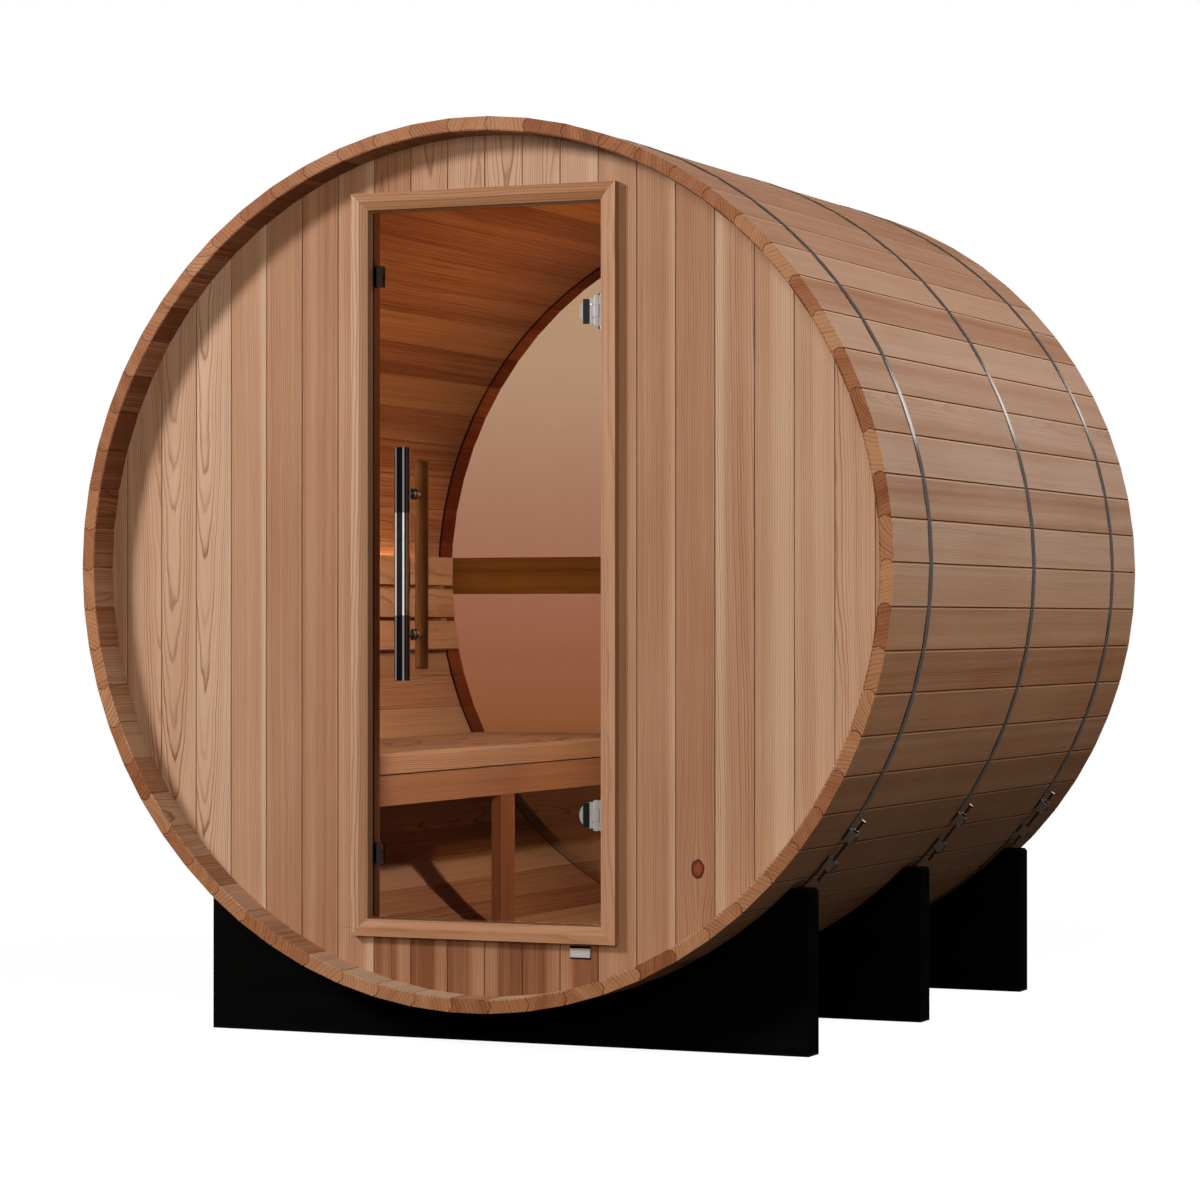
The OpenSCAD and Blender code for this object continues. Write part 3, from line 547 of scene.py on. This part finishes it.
def band_material():
    """Rolled steel strip; the lugs that stand off the barrel are dull castings."""
    material, g, shader = new_material("band_steel")
    x, y, z = g.object_place()
    rise = z - AXIS_H
    lug = (x * x + rise * rise).apply("SQRT").above(BARREL_R + LUG_CLEAR)
    brush = g.noise(x * 2.0, y * 2600.0, z * 2.0, detail=3.0, roughness=0.7)
    stain = g.noise(x * 9.0, y * 9.0, z * 9.0, detail=3.0)
    pitting = g.noise(x * 700.0, y * 700.0, z * 700.0, detail=2.0)
    wear_and_highlight = brush * 0.55 + stain * 0.45
    strip = g.ramp(wear_and_highlight, [(0.3, srgb(208, 198, 188)), (0.7, srgb(230, 220, 210))])
    cast = g.ramp(pitting, [(0.3, srgb(84, 76, 68)), (0.7, srgb(124, 114, 104))])
    # Painted shade: the narrow side faces of the strip are a dark steel, for their dark reflection
    edge = g.object_normal()[1].apply("ABSOLUTE").above(0.5) * (1.0 - lug)
    g.feed(shader.inputs["Base Color"], g.mix(edge, g.mix(lug, strip, cast), srgb(74, 68, 62)))
    g.feed(shader.inputs["Metallic"], 0.84 - lug * 0.44)
    g.feed(shader.inputs["Roughness"], brush * 0.08 + 0.1 + lug * 0.25)
    g.feed(shader.inputs["Normal"], g.bump(brush + lug * pitting, 0.00008, 0.4))
    return material


def bolt_material():
    """Oiled steel bolts and nuts, with a painted highlight: their cut ends are pale."""
    material, g, shader = new_material("bolt_steel")
    x, y, z = g.object_place()
    nx, _, nz = g.object_normal()
    rise = z - AXIS_H
    along = (nz * x - nx * rise).apply("ABSOLUTE") / (x * x + rise * rise).apply("SQRT")
    # Painted highlight: the cut ends are pale and less metallic
    cut = along.smooth(0.8, 0.9)
    spangle = g.noise(x * 400.0, y * 400.0, z * 400.0, detail=2.0)
    oiled = g.ramp(spangle, [(0.3, srgb(104, 96, 88)), (0.7, srgb(146, 136, 126))])
    g.feed(shader.inputs["Base Color"], g.mix(cut, oiled, srgb(232, 226, 218)))
    g.feed(shader.inputs["Metallic"], 1.0 - cut * 0.7)
    g.feed(shader.inputs["Roughness"], spangle * 0.16 + 0.12 + cut * 0.3)
    return material


def chrome_material():
    """Chrome: bright on the handle's grip, with a painted dim reflection on the ends of the handle,
    satin on the hinges.
    """
    material, g, shader = new_material("chrome")
    x, y, z = g.object_place()
    smear = g.noise(x * 60.0, y * 60.0, z * 60.0, detail=3.0)
    scratch = g.noise(x * 900.0, y * 900.0, z * 14.0, detail=2.0)
    handle = x.below(0.0) * y.below(CLAMP_FRONT_Y - HANDLE_CLEAR)
    # Painted reflection: the ends of the outer handle are a darker chrome, for their dimmer reflection
    dark = handle * (z - DOOR_Z).apply("ABSOLUTE").above(HANDLE_GRIP)
    hinge = x.above(0.0)
    wear_and_highlight = smear * 0.5 + scratch * 0.5
    color = g.ramp(wear_and_highlight, [(0.3, srgb(214, 212, 212)), (0.7, srgb(234, 232, 231))])
    g.feed(shader.inputs["Base Color"], g.mix(dark, color, srgb(128, 126, 128)))
    g.feed(shader.inputs["Metallic"], 1.0 - hinge * 0.35)
    g.feed(shader.inputs["Roughness"], smear * 0.04 + hinge * (scratch * 0.06 + 0.14) + 0.04)
    g.feed(shader.inputs["Normal"], g.bump(scratch * hinge, 0.00004, 0.3))
    return material


def black_plastic_material():
    """Moulded black plastic with a fine spark grain."""
    material, g, shader = new_material("black_plastic", Specular_IOR_Level=0.25)
    x, y, z = g.object_place()
    spark = g.noise(x * 2400.0, y * 2400.0, z * 2400.0, detail=1.0)
    wear_and_highlight = g.noise(x * 120.0, y * 120.0, z * 120.0, detail=2.0)
    g.feed(shader.inputs["Base Color"], g.ramp(wear_and_highlight, [(0.3, srgb(7, 7, 7)), (0.7, srgb(15, 14, 14))]))
    g.feed(shader.inputs["Roughness"], wear_and_highlight * 0.2 + 0.34)
    g.feed(shader.inputs["Normal"], g.bump(spark, 0.00006, 0.5))
    return material


# Ground edge of the panes, the height below which the rear glass mirrors, and where that is in full
GLASS_EDGE = srgb(52, 40, 26)
MIRROR_Z = 0.58
MIRROR_RAMP = 0.16


def glass_material(name, ior, tints_and_shade, mirror_below=None):
    """Bronze glass with ground edges; tints_and_shade are pairs of a height and the light that passes
    there, which on the rear glass also holds painted shade.

    Below the height mirror_below a thin metal coat makes the pane reflect as well.
    """
    material, g, shader = new_material(name, IOR=ior)
    x, y, z = g.object_place()
    top, foot = tints_and_shade[0][0], tints_and_shade[-1][0]
    cloud = g.noise(x * 3.0, y * 3.0, z * 3.0, detail=1.0) - 0.5
    down = (top - z) / (top - foot) + cloud * 0.03
    stops = [((top - height) / (top - foot), (*tint, 1.0)) for height, tint in tints_and_shade]
    face = g.object_normal()[1].apply("ABSOLUTE").smooth(0.5, 0.9)
    g.feed(shader.inputs["Base Color"], g.mix(face, GLASS_EDGE, g.ramp(down, stops)))
    g.feed(shader.inputs["Transmission Weight"], face)
    g.feed(shader.inputs["Roughness"], 0.35 - face * 0.35)
    if mirror_below:
        coat = (mirror_below - z).smooth(0.0, MIRROR_RAMP)
        g.feed(shader.inputs["IOR"], coat * 5.0 + ior)
    return material


def label_material():
    """Satin silver plate, left bare."""
    material, g, shader = new_material("bare_plate", Metallic=0.15)
    x, y, z = g.object_place()
    brush = g.noise(x * 30.0, y * 30.0, z * 2600.0, detail=2.0)
    color = g.ramp(brush, [(0.3, srgb(168, 164, 162)), (0.7, srgb(206, 203, 200))])
    g.feed(shader.inputs["Base Color"], color)
    g.feed(shader.inputs["Roughness"], brush * 0.2 + 0.32)
    return material


def lamp_material():
    """Diffuser of the lamp strip behind the backrest."""
    material, g, shader = new_material("warm_diffuser", Emission_Strength=1.6)
    _, y, _ = g.object_place()
    glow = g.wave(y * 26.0, detail=1.0)
    color = g.ramp(glow, [(0.3, srgb(250, 200, 130)), (0.7, srgb(255, 214, 150))])
    light = g.ramp(glow, [(0.3, srgb(255, 176, 92)), (0.7, srgb(255, 190, 108))])
    g.feed(shader.inputs["Base Color"], color)
    g.feed(shader.inputs["Emission Color"], light)
    return material


MATERIALS = {
    "stave": wood_material("cedar_stave", stave_place, Y, end_spread=0.4),
    "wall": wall_material(),
    "frame_up": wood_material(
        "cedar_frame_upright", straight_place(Z, X, Y, 301.0, 0.46), Z, contrast=1.0,
        tint=srgb(254, 249, 246)),
    "frame_across": wood_material(
        "cedar_frame_across", straight_place(X, Z, Y, 307.0, 0.62), X, contrast=1.0,
        tint=srgb(250, 242, 228)),
    "bench": wood_material(
        "cedar_bench", straight_place(Y, X, Z, 330.0, 0.0, 0.7, BENCH_PITCH, BENCH_X), Y,
        contrast=1.0),
    "apron": wood_material("cedar_apron", straight_place(Y, Z, X, 341.0, 0.4, 0.6), Y),
    "post": wood_material("cedar_post", straight_place(Z, Y, X, 347.0, 0.78), Z),
    "bearer": wood_material("cedar_bearer", straight_place(X, Z, Y, 353.0, 0.6), X),
    "backrest": wood_material(
        "cedar_backrest",
        straight_place(Y, Z, X, 360.0, 0.1, 0.5, BACK_SLAT_PITCH, BACK_SLAT_Z), Y),
    "cleat": wood_material("cedar_cleat", straight_place(Z, Y, X, 371.0, 0.5), Z),
    "rail": wood_material(
        "cedar_rail", straight_place(X, Z, Y, 383.0, 0.75, 0.4), X, tint=srgb(228, 236, 150)),
    # The grip's tint, above 1, lifts and cools the inner handle: painted light in place of a lamp on it
    "grip": wood_material(
        "cedar_grip", straight_place(Z, X, Y, 389.0, 0.1), Z, tint=(1.35, 1.46, 1.14, 1.0)),
    "black_wood": black_wood_material(),
    "band": band_material(),
    "bolt": bolt_material(),
    "chrome": chrome_material(),
    "black_plastic": black_plastic_material(),
    "door_glass": glass_material("bronze_door_glass", 1.16, [
        (DOOR_Z + DOOR_HALF_H, (0.60, 0.42, 0.325)), (DOOR_Z - DOOR_HALF_H, (0.585, 0.405, 0.315))]),
    # The rear glass runs from pale at the top to near black at the foot: bronze tint with painted shade
    # towards the foot
    "rear_glass": glass_material("bronze_rear_glass", 1.3, [
        (1.85, (0.80, 0.71, 0.57)), (1.51, (0.78, 0.68, 0.54)), (1.17, (0.64, 0.44, 0.345)),
        (0.88, (0.54, 0.295, 0.21)), (0.63, (0.44, 0.215, 0.107)), (0.45, (0.22, 0.095, 0.035)),
        (0.12, (0.16, 0.07, 0.03))], mirror_below=MIRROR_Z),
    "label": label_material(),
    "lamp": lamp_material(),
}

NODE_MATERIALS = {
    "stave": ["staves_upper_right", "staves_top", "staves_upper_left",
              "staves_lower_left", "staves_bottom", "staves_lower_right"],
    "wall": ["front_wall_left", "front_wall_right", "front_wall_over_door", "front_wall_under_door"],
    "frame_up": ["door_frame_left", "door_frame_right"],
    "frame_across": ["door_frame_top", "door_frame_bottom"],
    "bench": ["bench_slats"],
    "apron": ["bench_apron"],
    "post": ["bench_post"],
    "bearer": ["bench_bearers"],
    "backrest": ["backrest_slats"],
    "cleat": ["backrest_cleats"],
    "rail": ["rear_rail"],
    "grip": ["door_handle_inner"],
    "black_wood": ["cradle_front", "cradle_middle", "cradle_rear"],
    "band": ["band_front", "band_middle", "band_rear"],
    "bolt": ["tension_bolt_front", "tension_bolt_middle", "tension_bolt_rear"],
    "chrome": ["hinge_leaves", "hinge_clamps", "catch_strikes",
               "door_handle_outer", "door_handle_posts"],
    "black_plastic": ["catches"],
    "door_glass": ["door_glass"],
    "rear_glass": ["rear_glass_upper", "rear_glass_lower"],
}
for key, names in NODE_MATERIALS.items():
    for name in names:
        for material_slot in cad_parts[name].material_slots:
            material_slot.material = MATERIALS[key]


def add_piece(name, mesh, material, body):
    """Finishes a bmesh as a named piece that rides on a body."""
    bmesh.ops.recalc_face_normals(mesh, faces=mesh.faces)
    data = bpy.data.meshes.new(name)
    mesh.to_mesh(data)
    mesh.free()
    piece = bpy.data.objects.new(name, data)
    bpy.context.scene.collection.objects.link(piece)
    data.materials.append(MATERIALS[material])
    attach(piece, body)
    return piece


def add_slab(mesh, outline, y_from, y_to, ease):
    """Slab with an eased front edge from an outline in X and Z, thick along Y."""
    low = [mesh.verts.new((x, y_to, z)) for x, z in outline]
    high = [mesh.verts.new((x, y_from + ease, z)) for x, z in outline]
    middle = Vector((sum(x for x, _ in outline), sum(z for _, z in outline))) / len(outline)
    crown = []
    for x, z in outline:
        inward = (middle - Vector((x, z))).normalized() * ease
        crown.append(mesh.verts.new((x + inward.x, y_from, z + inward.y)))
    mesh.faces.new(low)
    mesh.faces.new(crown)
    count = len(outline)
    for lower, upper in ((low, high), (high, crown)):
        for n in range(count):
            m = (n + 1) % count
            mesh.faces.new((lower[n], lower[m], upper[m], upper[n]))


def rounded(width, height, radius, steps=5):
    """Outline of a rectangle with round corners, about the origin."""
    points = []
    for corner, (sx, sz) in enumerate(((1, 1), (-1, 1), (-1, -1), (1, -1))):
        for n in range(steps + 1):
            angle = math.pi / 2 * (corner + n / steps)
            points.append((sx * (width / 2 - radius) + radius * math.cos(angle),
                           sz * (height / 2 - radius) + radius * math.sin(angle)))
    return points


def shifted(outline, x, z):
    return [(px + x, pz + z) for px, pz in outline]


def add_screw(mesh, x, y, z, radius, rise):
    """Domed screw head on a face that looks towards -Y, with a cross recess sunk in its crown."""
    rings, sides = 4, 20
    loops = []
    for n in range(rings + 1):
        angle = math.pi / 2 * n / (rings + 1)
        loops.append([
            mesh.verts.new((x + radius * math.cos(angle) * math.cos(a), y - rise * math.sin(angle),
                            z + radius * math.cos(angle) * math.sin(a)))
            for a in (2 * math.pi * k / sides for k in range(sides))
        ])
    for lower, upper in zip(loops, loops[1:]):
        for n in range(sides):
            m = (n + 1) % sides
            mesh.faces.new((lower[n], lower[m], upper[m], upper[n]))
    pit = mesh.verts.new((x, y - rise * 0.55, z))
    for n in range(sides):
        mesh.faces.new((loops[-1][n], loops[-1][(n + 1) % sides], pit))
    mesh.faces.new(loops[0])


# Hinge trim: pads on the clamps, and screws beside the leaves
PAD_X = CLAMP_X + 0.0155
PAD_W, PAD_T, PAD_CORNER, PAD_EASE = 0.014, 0.0012, 0.0015, 0.0005
PAD_H = CLAMP_H - 0.003
SCREW_X = CLAMP_X + 0.0268
SCREW_OFFSET = 0.014
SCREW_R, SCREW_RISE = 0.0026, 0.0011

# Label plate: middle of the backing, fronts, outlines as width, height and corner, and rivets
LABEL_X, LABEL_Z = 0.2157, 0.1992
PLATE_Z = LABEL_Z - 0.0008
BACKING_Y = WALL_Y - 0.0015
PLATE_Y = WALL_Y - 0.0024
BACKING = (0.046, 0.0265, 0.001)
PLATE = (0.0445, 0.0185, 0.0008)
RIVET_OFFSET = 0.0195
RIVET_R, RIVET_RISE = 0.0011, 0.0006


def add_hinge_trim():
    """Black pads on the glass clamps, and the screws beside the frame leaves."""
    pads = bmesh.new()
    screws = bmesh.new()
    for side in (-1, 1):
        z = DOOR_Z + side * HINGE_RISE
        pad = shifted(rounded(PAD_W, PAD_H, PAD_CORNER), PAD_X, z)
        add_slab(pads, pad, CLAMP_FRONT_Y - PAD_T, CLAMP_FRONT_Y, PAD_EASE)
        for offset in (-SCREW_OFFSET, SCREW_OFFSET):
            add_screw(screws, SCREW_X, CLAMP_FRONT_Y, z + offset, SCREW_R, SCREW_RISE)
    add_piece("hinge_pads", pads, "black_plastic", "door")
    add_piece("hinge_screws", screws, "chrome", "door")


def add_label():
    """Bare plate under the door, on a dark backing, with two rivets."""
    backing = bmesh.new()
    add_slab(backing, shifted(rounded(*BACKING), LABEL_X, LABEL_Z), BACKING_Y, WALL_Y, 0.0004)
    add_piece("label_backing", backing, "black_plastic", "barrel")
    plate = bmesh.new()
    add_slab(plate, shifted(rounded(*PLATE), LABEL_X, PLATE_Z), PLATE_Y, BACKING_Y, 0.0003)
    for side in (-1, 1):
        add_screw(plate, LABEL_X + side * RIVET_OFFSET, PLATE_Y, PLATE_Z, RIVET_R, RIVET_RISE)
    add_piece("label_plate", plate, "label", "barrel")


def add_strip(mesh, rows):
    """Closed solid swept through rows of matching section points."""
    count = len(rows[0])
    for row, after in zip(rows, rows[1:]):
        for n in range(count):
            m = (n + 1) % count
            mesh.faces.new((row[n], row[m], after[m], after[n]))
    mesh.faces.new(rows[0])
    mesh.faces.new(rows[-1])


# Sealant: width of the bead, how far its hollow front comes out, and steps round half the glass
SEALANT_BEAD = 0.0014
SEALANT_HOLLOW = 0.42
SEALANT_STEPS = 96


def bead_section(mesh, foot, inward, toward):
    """Corners of a bead of sealant at foot: inward along the glass, toward along Y off its face."""
    off = Vector((0.0, toward * SEALANT_BEAD, 0.0))
    along = inward * SEALANT_BEAD
    hollow = (off + along) * SEALANT_HOLLOW
    return [mesh.verts.new(corner) for corner in (foot, foot + off, foot + hollow, foot + along)]


def add_sealant():
    """Black sealant between the rear glass, the staves and the rail, inside and outside."""
    ring = bmesh.new()
    start = math.asin((RAIL_HALF_H + 0.0003) / INNER_R)
    reach = math.sqrt(INNER_R ** 2 - RAIL_HALF_H ** 2) - SEALANT_BEAD
    for y, toward in ((REAR_GLASS_Y, -1), (REAR_GLASS_BACK_Y, 1)):
        for base in (0.0, math.pi):
            rows = []
            for n in range(SEALANT_STEPS + 1):
                angle = base + start + (math.pi - 2 * start) * n / SEALANT_STEPS
                direction = Vector((math.cos(angle), 0.0, math.sin(angle)))
                foot = Vector((0.0, y, AXIS_H)) + direction * (INNER_R - 0.0001)
                rows.append(bead_section(ring, foot, -direction, toward))
            add_strip(ring, rows)
        for side in (-1, 1):
            feet = [Vector((x, y, AXIS_H + side * RAIL_HALF_H)) for x in (-reach, reach)]
            upward = Vector((0.0, 0.0, side))
            add_strip(ring, [bead_section(ring, foot, upward, toward) for foot in feet])
    add_piece("rear_sealant", ring, "black_plastic", "barrel")


# Lamp strip: direction from the barrel's axis, half its length, and its section across and inwards
LAMP_ANGLE = math.radians(178.7)
LAMP_HALF_L = 0.66
LAMP_SECTION = (
    (-0.009, 0.0), (0.009, 0.0), (0.009, 0.005), (0.006, 0.008), (-0.006, 0.008), (-0.009, 0.005),
)


def add_lamp_strip():
    """Lamp strip on the staves behind the top of the backrest."""
    strip = bmesh.new()
    across = Vector((-math.sin(LAMP_ANGLE), 0.0, math.cos(LAMP_ANGLE)))
    out = Vector((math.cos(LAMP_ANGLE), 0.0, math.sin(LAMP_ANGLE)))
    rows = []
    for y in (-LAMP_HALF_L, LAMP_HALF_L):
        foot = Vector((0.0, y, AXIS_H)) + out * (INNER_R - 0.0004)
        rows.append([strip.verts.new(foot + across * a - out * inward) for a, inward in LAMP_SECTION])
    add_strip(strip, rows)
    add_piece("lamp_strip", strip, "lamp", "barrel")


add_hinge_trim()
add_label()
add_sealant()
add_lamp_strip()


def add_camera():
    """Camera where the photo was taken from."""
    data = bpy.data.cameras.new("camera")
    data.lens = CAMERA_LENS
    camera = bpy.data.objects.new("camera", data)
    bpy.context.scene.collection.objects.link(camera)
    back = Vector((math.sin(CAMERA_AZIMUTH) * math.cos(CAMERA_ELEVATION),
                   -math.cos(CAMERA_AZIMUTH) * math.cos(CAMERA_ELEVATION),
                   math.sin(CAMERA_ELEVATION)))
    right = Vector((math.cos(CAMERA_AZIMUTH), math.sin(CAMERA_AZIMUTH), 0.0))
    turn = Matrix((right, back.cross(right), back)).transposed()
    camera.matrix_world = Matrix.Translation(CAMERA_AT) @ turn.to_4x4()
    bpy.context.scene.camera = camera


def place_lamp(name, data, at, reach, hidden):
    """Puts a lamp in place; a hidden one shows neither in reflections nor through glass."""
    lamp = bpy.data.objects.new(name, data)
    lamp.location = at
    lamp.rotation_euler = reach.to_track_quat("-Z", "Y").to_euler()
    lamp.visible_camera = False
    lamp.visible_glossy = not hidden
    lamp.visible_transmission = not hidden
    bpy.context.scene.collection.objects.link(lamp)


def add_area(name, at, target, width, height, level, color=(1.0, 1.0, 1.0), hidden=False,
             spread=180.0):
    """Soft lamp; level is how bright a white card facing it looks at the target."""
    data = bpy.data.lights.new(name, "AREA")
    data.spread = math.radians(spread)
    data.shape = "RECTANGLE"
    data.size = width
    data.size_y = height
    data.color = color
    reach = Vector(target) - Vector(at)
    data.energy = level * math.pi ** 2 * reach.length_squared
    place_lamp(name, data, at, reach, hidden)


def add_spot(name, at, target, cone, level, color, blend=0.35):
    """Hidden lamp with a cone in degrees; level is as for a soft lamp."""
    data = bpy.data.lights.new(name, "SPOT")
    data.spot_size = math.radians(cone)
    data.spot_blend = blend
    data.shadow_soft_size = 0.05
    data.color = color
    reach = Vector(target) - Vector(at)
    data.energy = level * 4 * math.pi ** 2 * reach.length_squared
    place_lamp(name, data, at, reach, hidden=True)


def add_lamps():
    """Key from the upper left, fill from the front, side light from the upper right, cabin lamps.

    The last lamp stands behind the object and warms the inside of the rear rim, which shows through
    the glass.
    """
    middle = Vector((0.0, 0.0, AXIS_H))
    key = Vector((-0.554, -0.723, 0.413)) * 6.5
    fill = Vector((0.30, -0.94, 0.16)) * 8.0
    side = Vector((0.706, 0.05, 0.706)) * 6.5
    add_area("key", middle + key, middle, 1.0, 1.0, 0.72)
    add_area("fill", middle + fill, middle, 2.6, 2.6, 0.34, (1.0, 0.91, 0.81), hidden=True)
    add_area("side", middle + side, middle, 2.0, 2.0, 0.76, (0.98, 1.0, 1.06), hidden=True)
    add_spot("cabin_side", (0.72, -0.6, 1.10), (-0.4, 0.05, 0.45), 72.0, 0.76, (1.0, 0.99, 0.9))
    add_area("cabin_roof", (-0.15, 0.1, 1.78), (-0.35, 0.1, 0.59), 1.2, 0.25, 0.25, hidden=True)
    add_area("cabin_glow", (0.42, 0.1, 1.0), (-0.4, 0.1, 1.75), 1.0, 0.3, 0.27,
             (1.0, 0.58, 0.06), hidden=True, spread=100.0)
    add_area("cabin_strip", (-0.8615, 0.0, 1.018), (-0.8827, 0.0, 1.051), 1.3, 0.008, 50.0,
             (1.0, 0.78, 0.42), hidden=True)
    add_spot("cabin_back", (0.62, -0.3, 1.25), (-0.85, 0.45, 0.86), 34.0, 0.36, (1.0, 0.8, 0.45))
    add_spot("cabin_floor", (0.70, -0.55, 0.92), (-0.42, 0.5, 0.2), 30.0, 0.17, (1.0, 0.8, 0.25))
    add_spot("rear_glow", (0.55, 1.25, 0.95), (-0.8, 0.84, 1.25), 66.0, 0.72, (1.0, 0.5, 0.22),
             blend=0.8)


def see_white(g):
    """1 for rays that look at the background straight, in a reflection or through glass."""
    path = g.node("ShaderNodeLightPath")
    seen = g.math("MAXIMUM", path.outputs["Is Camera Ray"], path.outputs["Is Glossy Ray"])
    seen = g.math("MAXIMUM", seen, path.outputs["Is Transmission Ray"])
    return seen * g.math("LESS_THAN", path.outputs["Diffuse Depth"], 0.5)


def add_world():
    """White where it is seen, and a dim even light elsewhere."""
    world = bpy.data.worlds.new("studio")
    world.use_nodes = True
    bpy.context.scene.world = world
    g = Graph(world.node_tree)
    background = world.node_tree.nodes["Background"]
    seen = see_white(g)
    g.feed(background.inputs["Strength"], seen * 0.9 + 0.1)
    g.feed(background.inputs["Color"], g.mix(seen, (1.0, 0.84, 0.68, 1.0), (1.0, 1.0, 1.0, 1.0)))


def add_stage(name, corners, material):
    """Flat card that belongs to the studio."""
    data = bpy.data.meshes.new(name)
    data.from_pydata(corners, [], [range(len(corners))])
    card = bpy.data.objects.new(name, data)
    data.materials.append(material)
    bpy.context.scene.collection.objects.link(card)
    return card


# Studio cards: reach of the floor, reach of the level and back flags, distance and height of the upright
# ones, and how far the level one lies over the floor
FLOOR_FAR = 60.0
FLAG_FAR = 9.0
FLAG_ROUND = 10.0
FLAG_TOP = 7.0
FLAG_FLOOR_Z = 0.004


def level_card(far, z):
    """Corners of a level square card about the origin."""
    return [(-far, -far, z), (far, -far, z), (far, far, z), (-far, far, z)]


def add_floor():
    """Pale floor that looks white but keeps the object's shadow."""
    material = bpy.data.materials.new("floor")
    material.use_nodes = True
    tree = material.node_tree
    tree.nodes.clear()
    g = Graph(tree)
    diffuse = g.node("ShaderNodeBsdfDiffuse")
    diffuse.inputs["Color"].default_value = (0.12, 0.12, 0.12, 1.0)
    glow = g.node("ShaderNodeEmission")
    x, y, _ = g.object_place()
    away = (x * x + y * y).apply("SQRT").smooth(2.0, 5.0)
    g.feed(glow.inputs["Strength"], see_white(g) * (away * 0.07 + 0.93))
    both = g.node("ShaderNodeAddShader")
    output = g.node("ShaderNodeOutputMaterial")
    tree.links.new(diffuse.outputs[0], both.inputs[0])
    tree.links.new(glow.outputs[0], both.inputs[1])
    tree.links.new(both.outputs[0], output.inputs["Surface"])
    add_stage("floor", level_card(FLOOR_FAR, 0.0), material)


def upright(azimuth_from, azimuth_to):
    """Corners of an upright card between two directions, counted from the front towards the right."""
    feet = [Vector((math.sin(a), -math.cos(a), 0.0)) * FLAG_ROUND
            for a in (math.radians(azimuth_from), math.radians(azimuth_to))]
    up = Vector((0.0, 0.0, FLAG_TOP))
    return [feet[0], feet[1], feet[1] + up, feet[0] + up]


def behind(x_from, x_to, z_from, z_to):
    """Corners of an upright card behind the object."""
    return [(x, FLAG_FAR, z) for x, z in (
        (x_from, z_from), (x_to, z_from), (x_to, z_to), (x_from, z_to))]


def add_flags():
    """Dark cards that only reflections see, so that polished metal and glass keep their contrast."""
    material = bpy.data.materials.new("flag")
    material.use_nodes = True
    shader = material.node_tree.nodes["Principled BSDF"]
    shader.inputs["Base Color"].default_value = (0.01, 0.01, 0.01, 1.0)
    shader.inputs["Specular IOR Level"].default_value = 0.0
    shader.inputs["Emission Color"].default_value = (0.022, 0.019, 0.017, 1.0)
    shader.inputs["Emission Strength"].default_value = 1.0
    cards = {
        "flag_floor": level_card(FLAG_FAR, FLAG_FLOOR_Z),
        "flag_left": upright(-62.0, 26.0),
        "flag_right": upright(51.0, 130.0),
        "flag_back_low": behind(-FLAG_FAR, FLAG_FAR, 0.0, 3.3),
        "flag_back_high": behind(-FLAG_FAR, FLAG_FAR, 4.3, 10.0),
        "flag_back_left": behind(-FLAG_FAR, 1.8, 3.3, 4.3),
        "flag_back_right": behind(3.8, FLAG_FAR, 3.3, 4.3),
    }
    for name, corners in cards.items():
        card = add_stage(name, corners, material)
        card.visible_camera = False
        card.visible_diffuse = False
        card.visible_transmission = False
        card.visible_shadow = False


add_camera()
add_lamps()
add_world()
add_floor()
add_flags()
bpy.context.scene.view_settings.view_transform = "Standard"
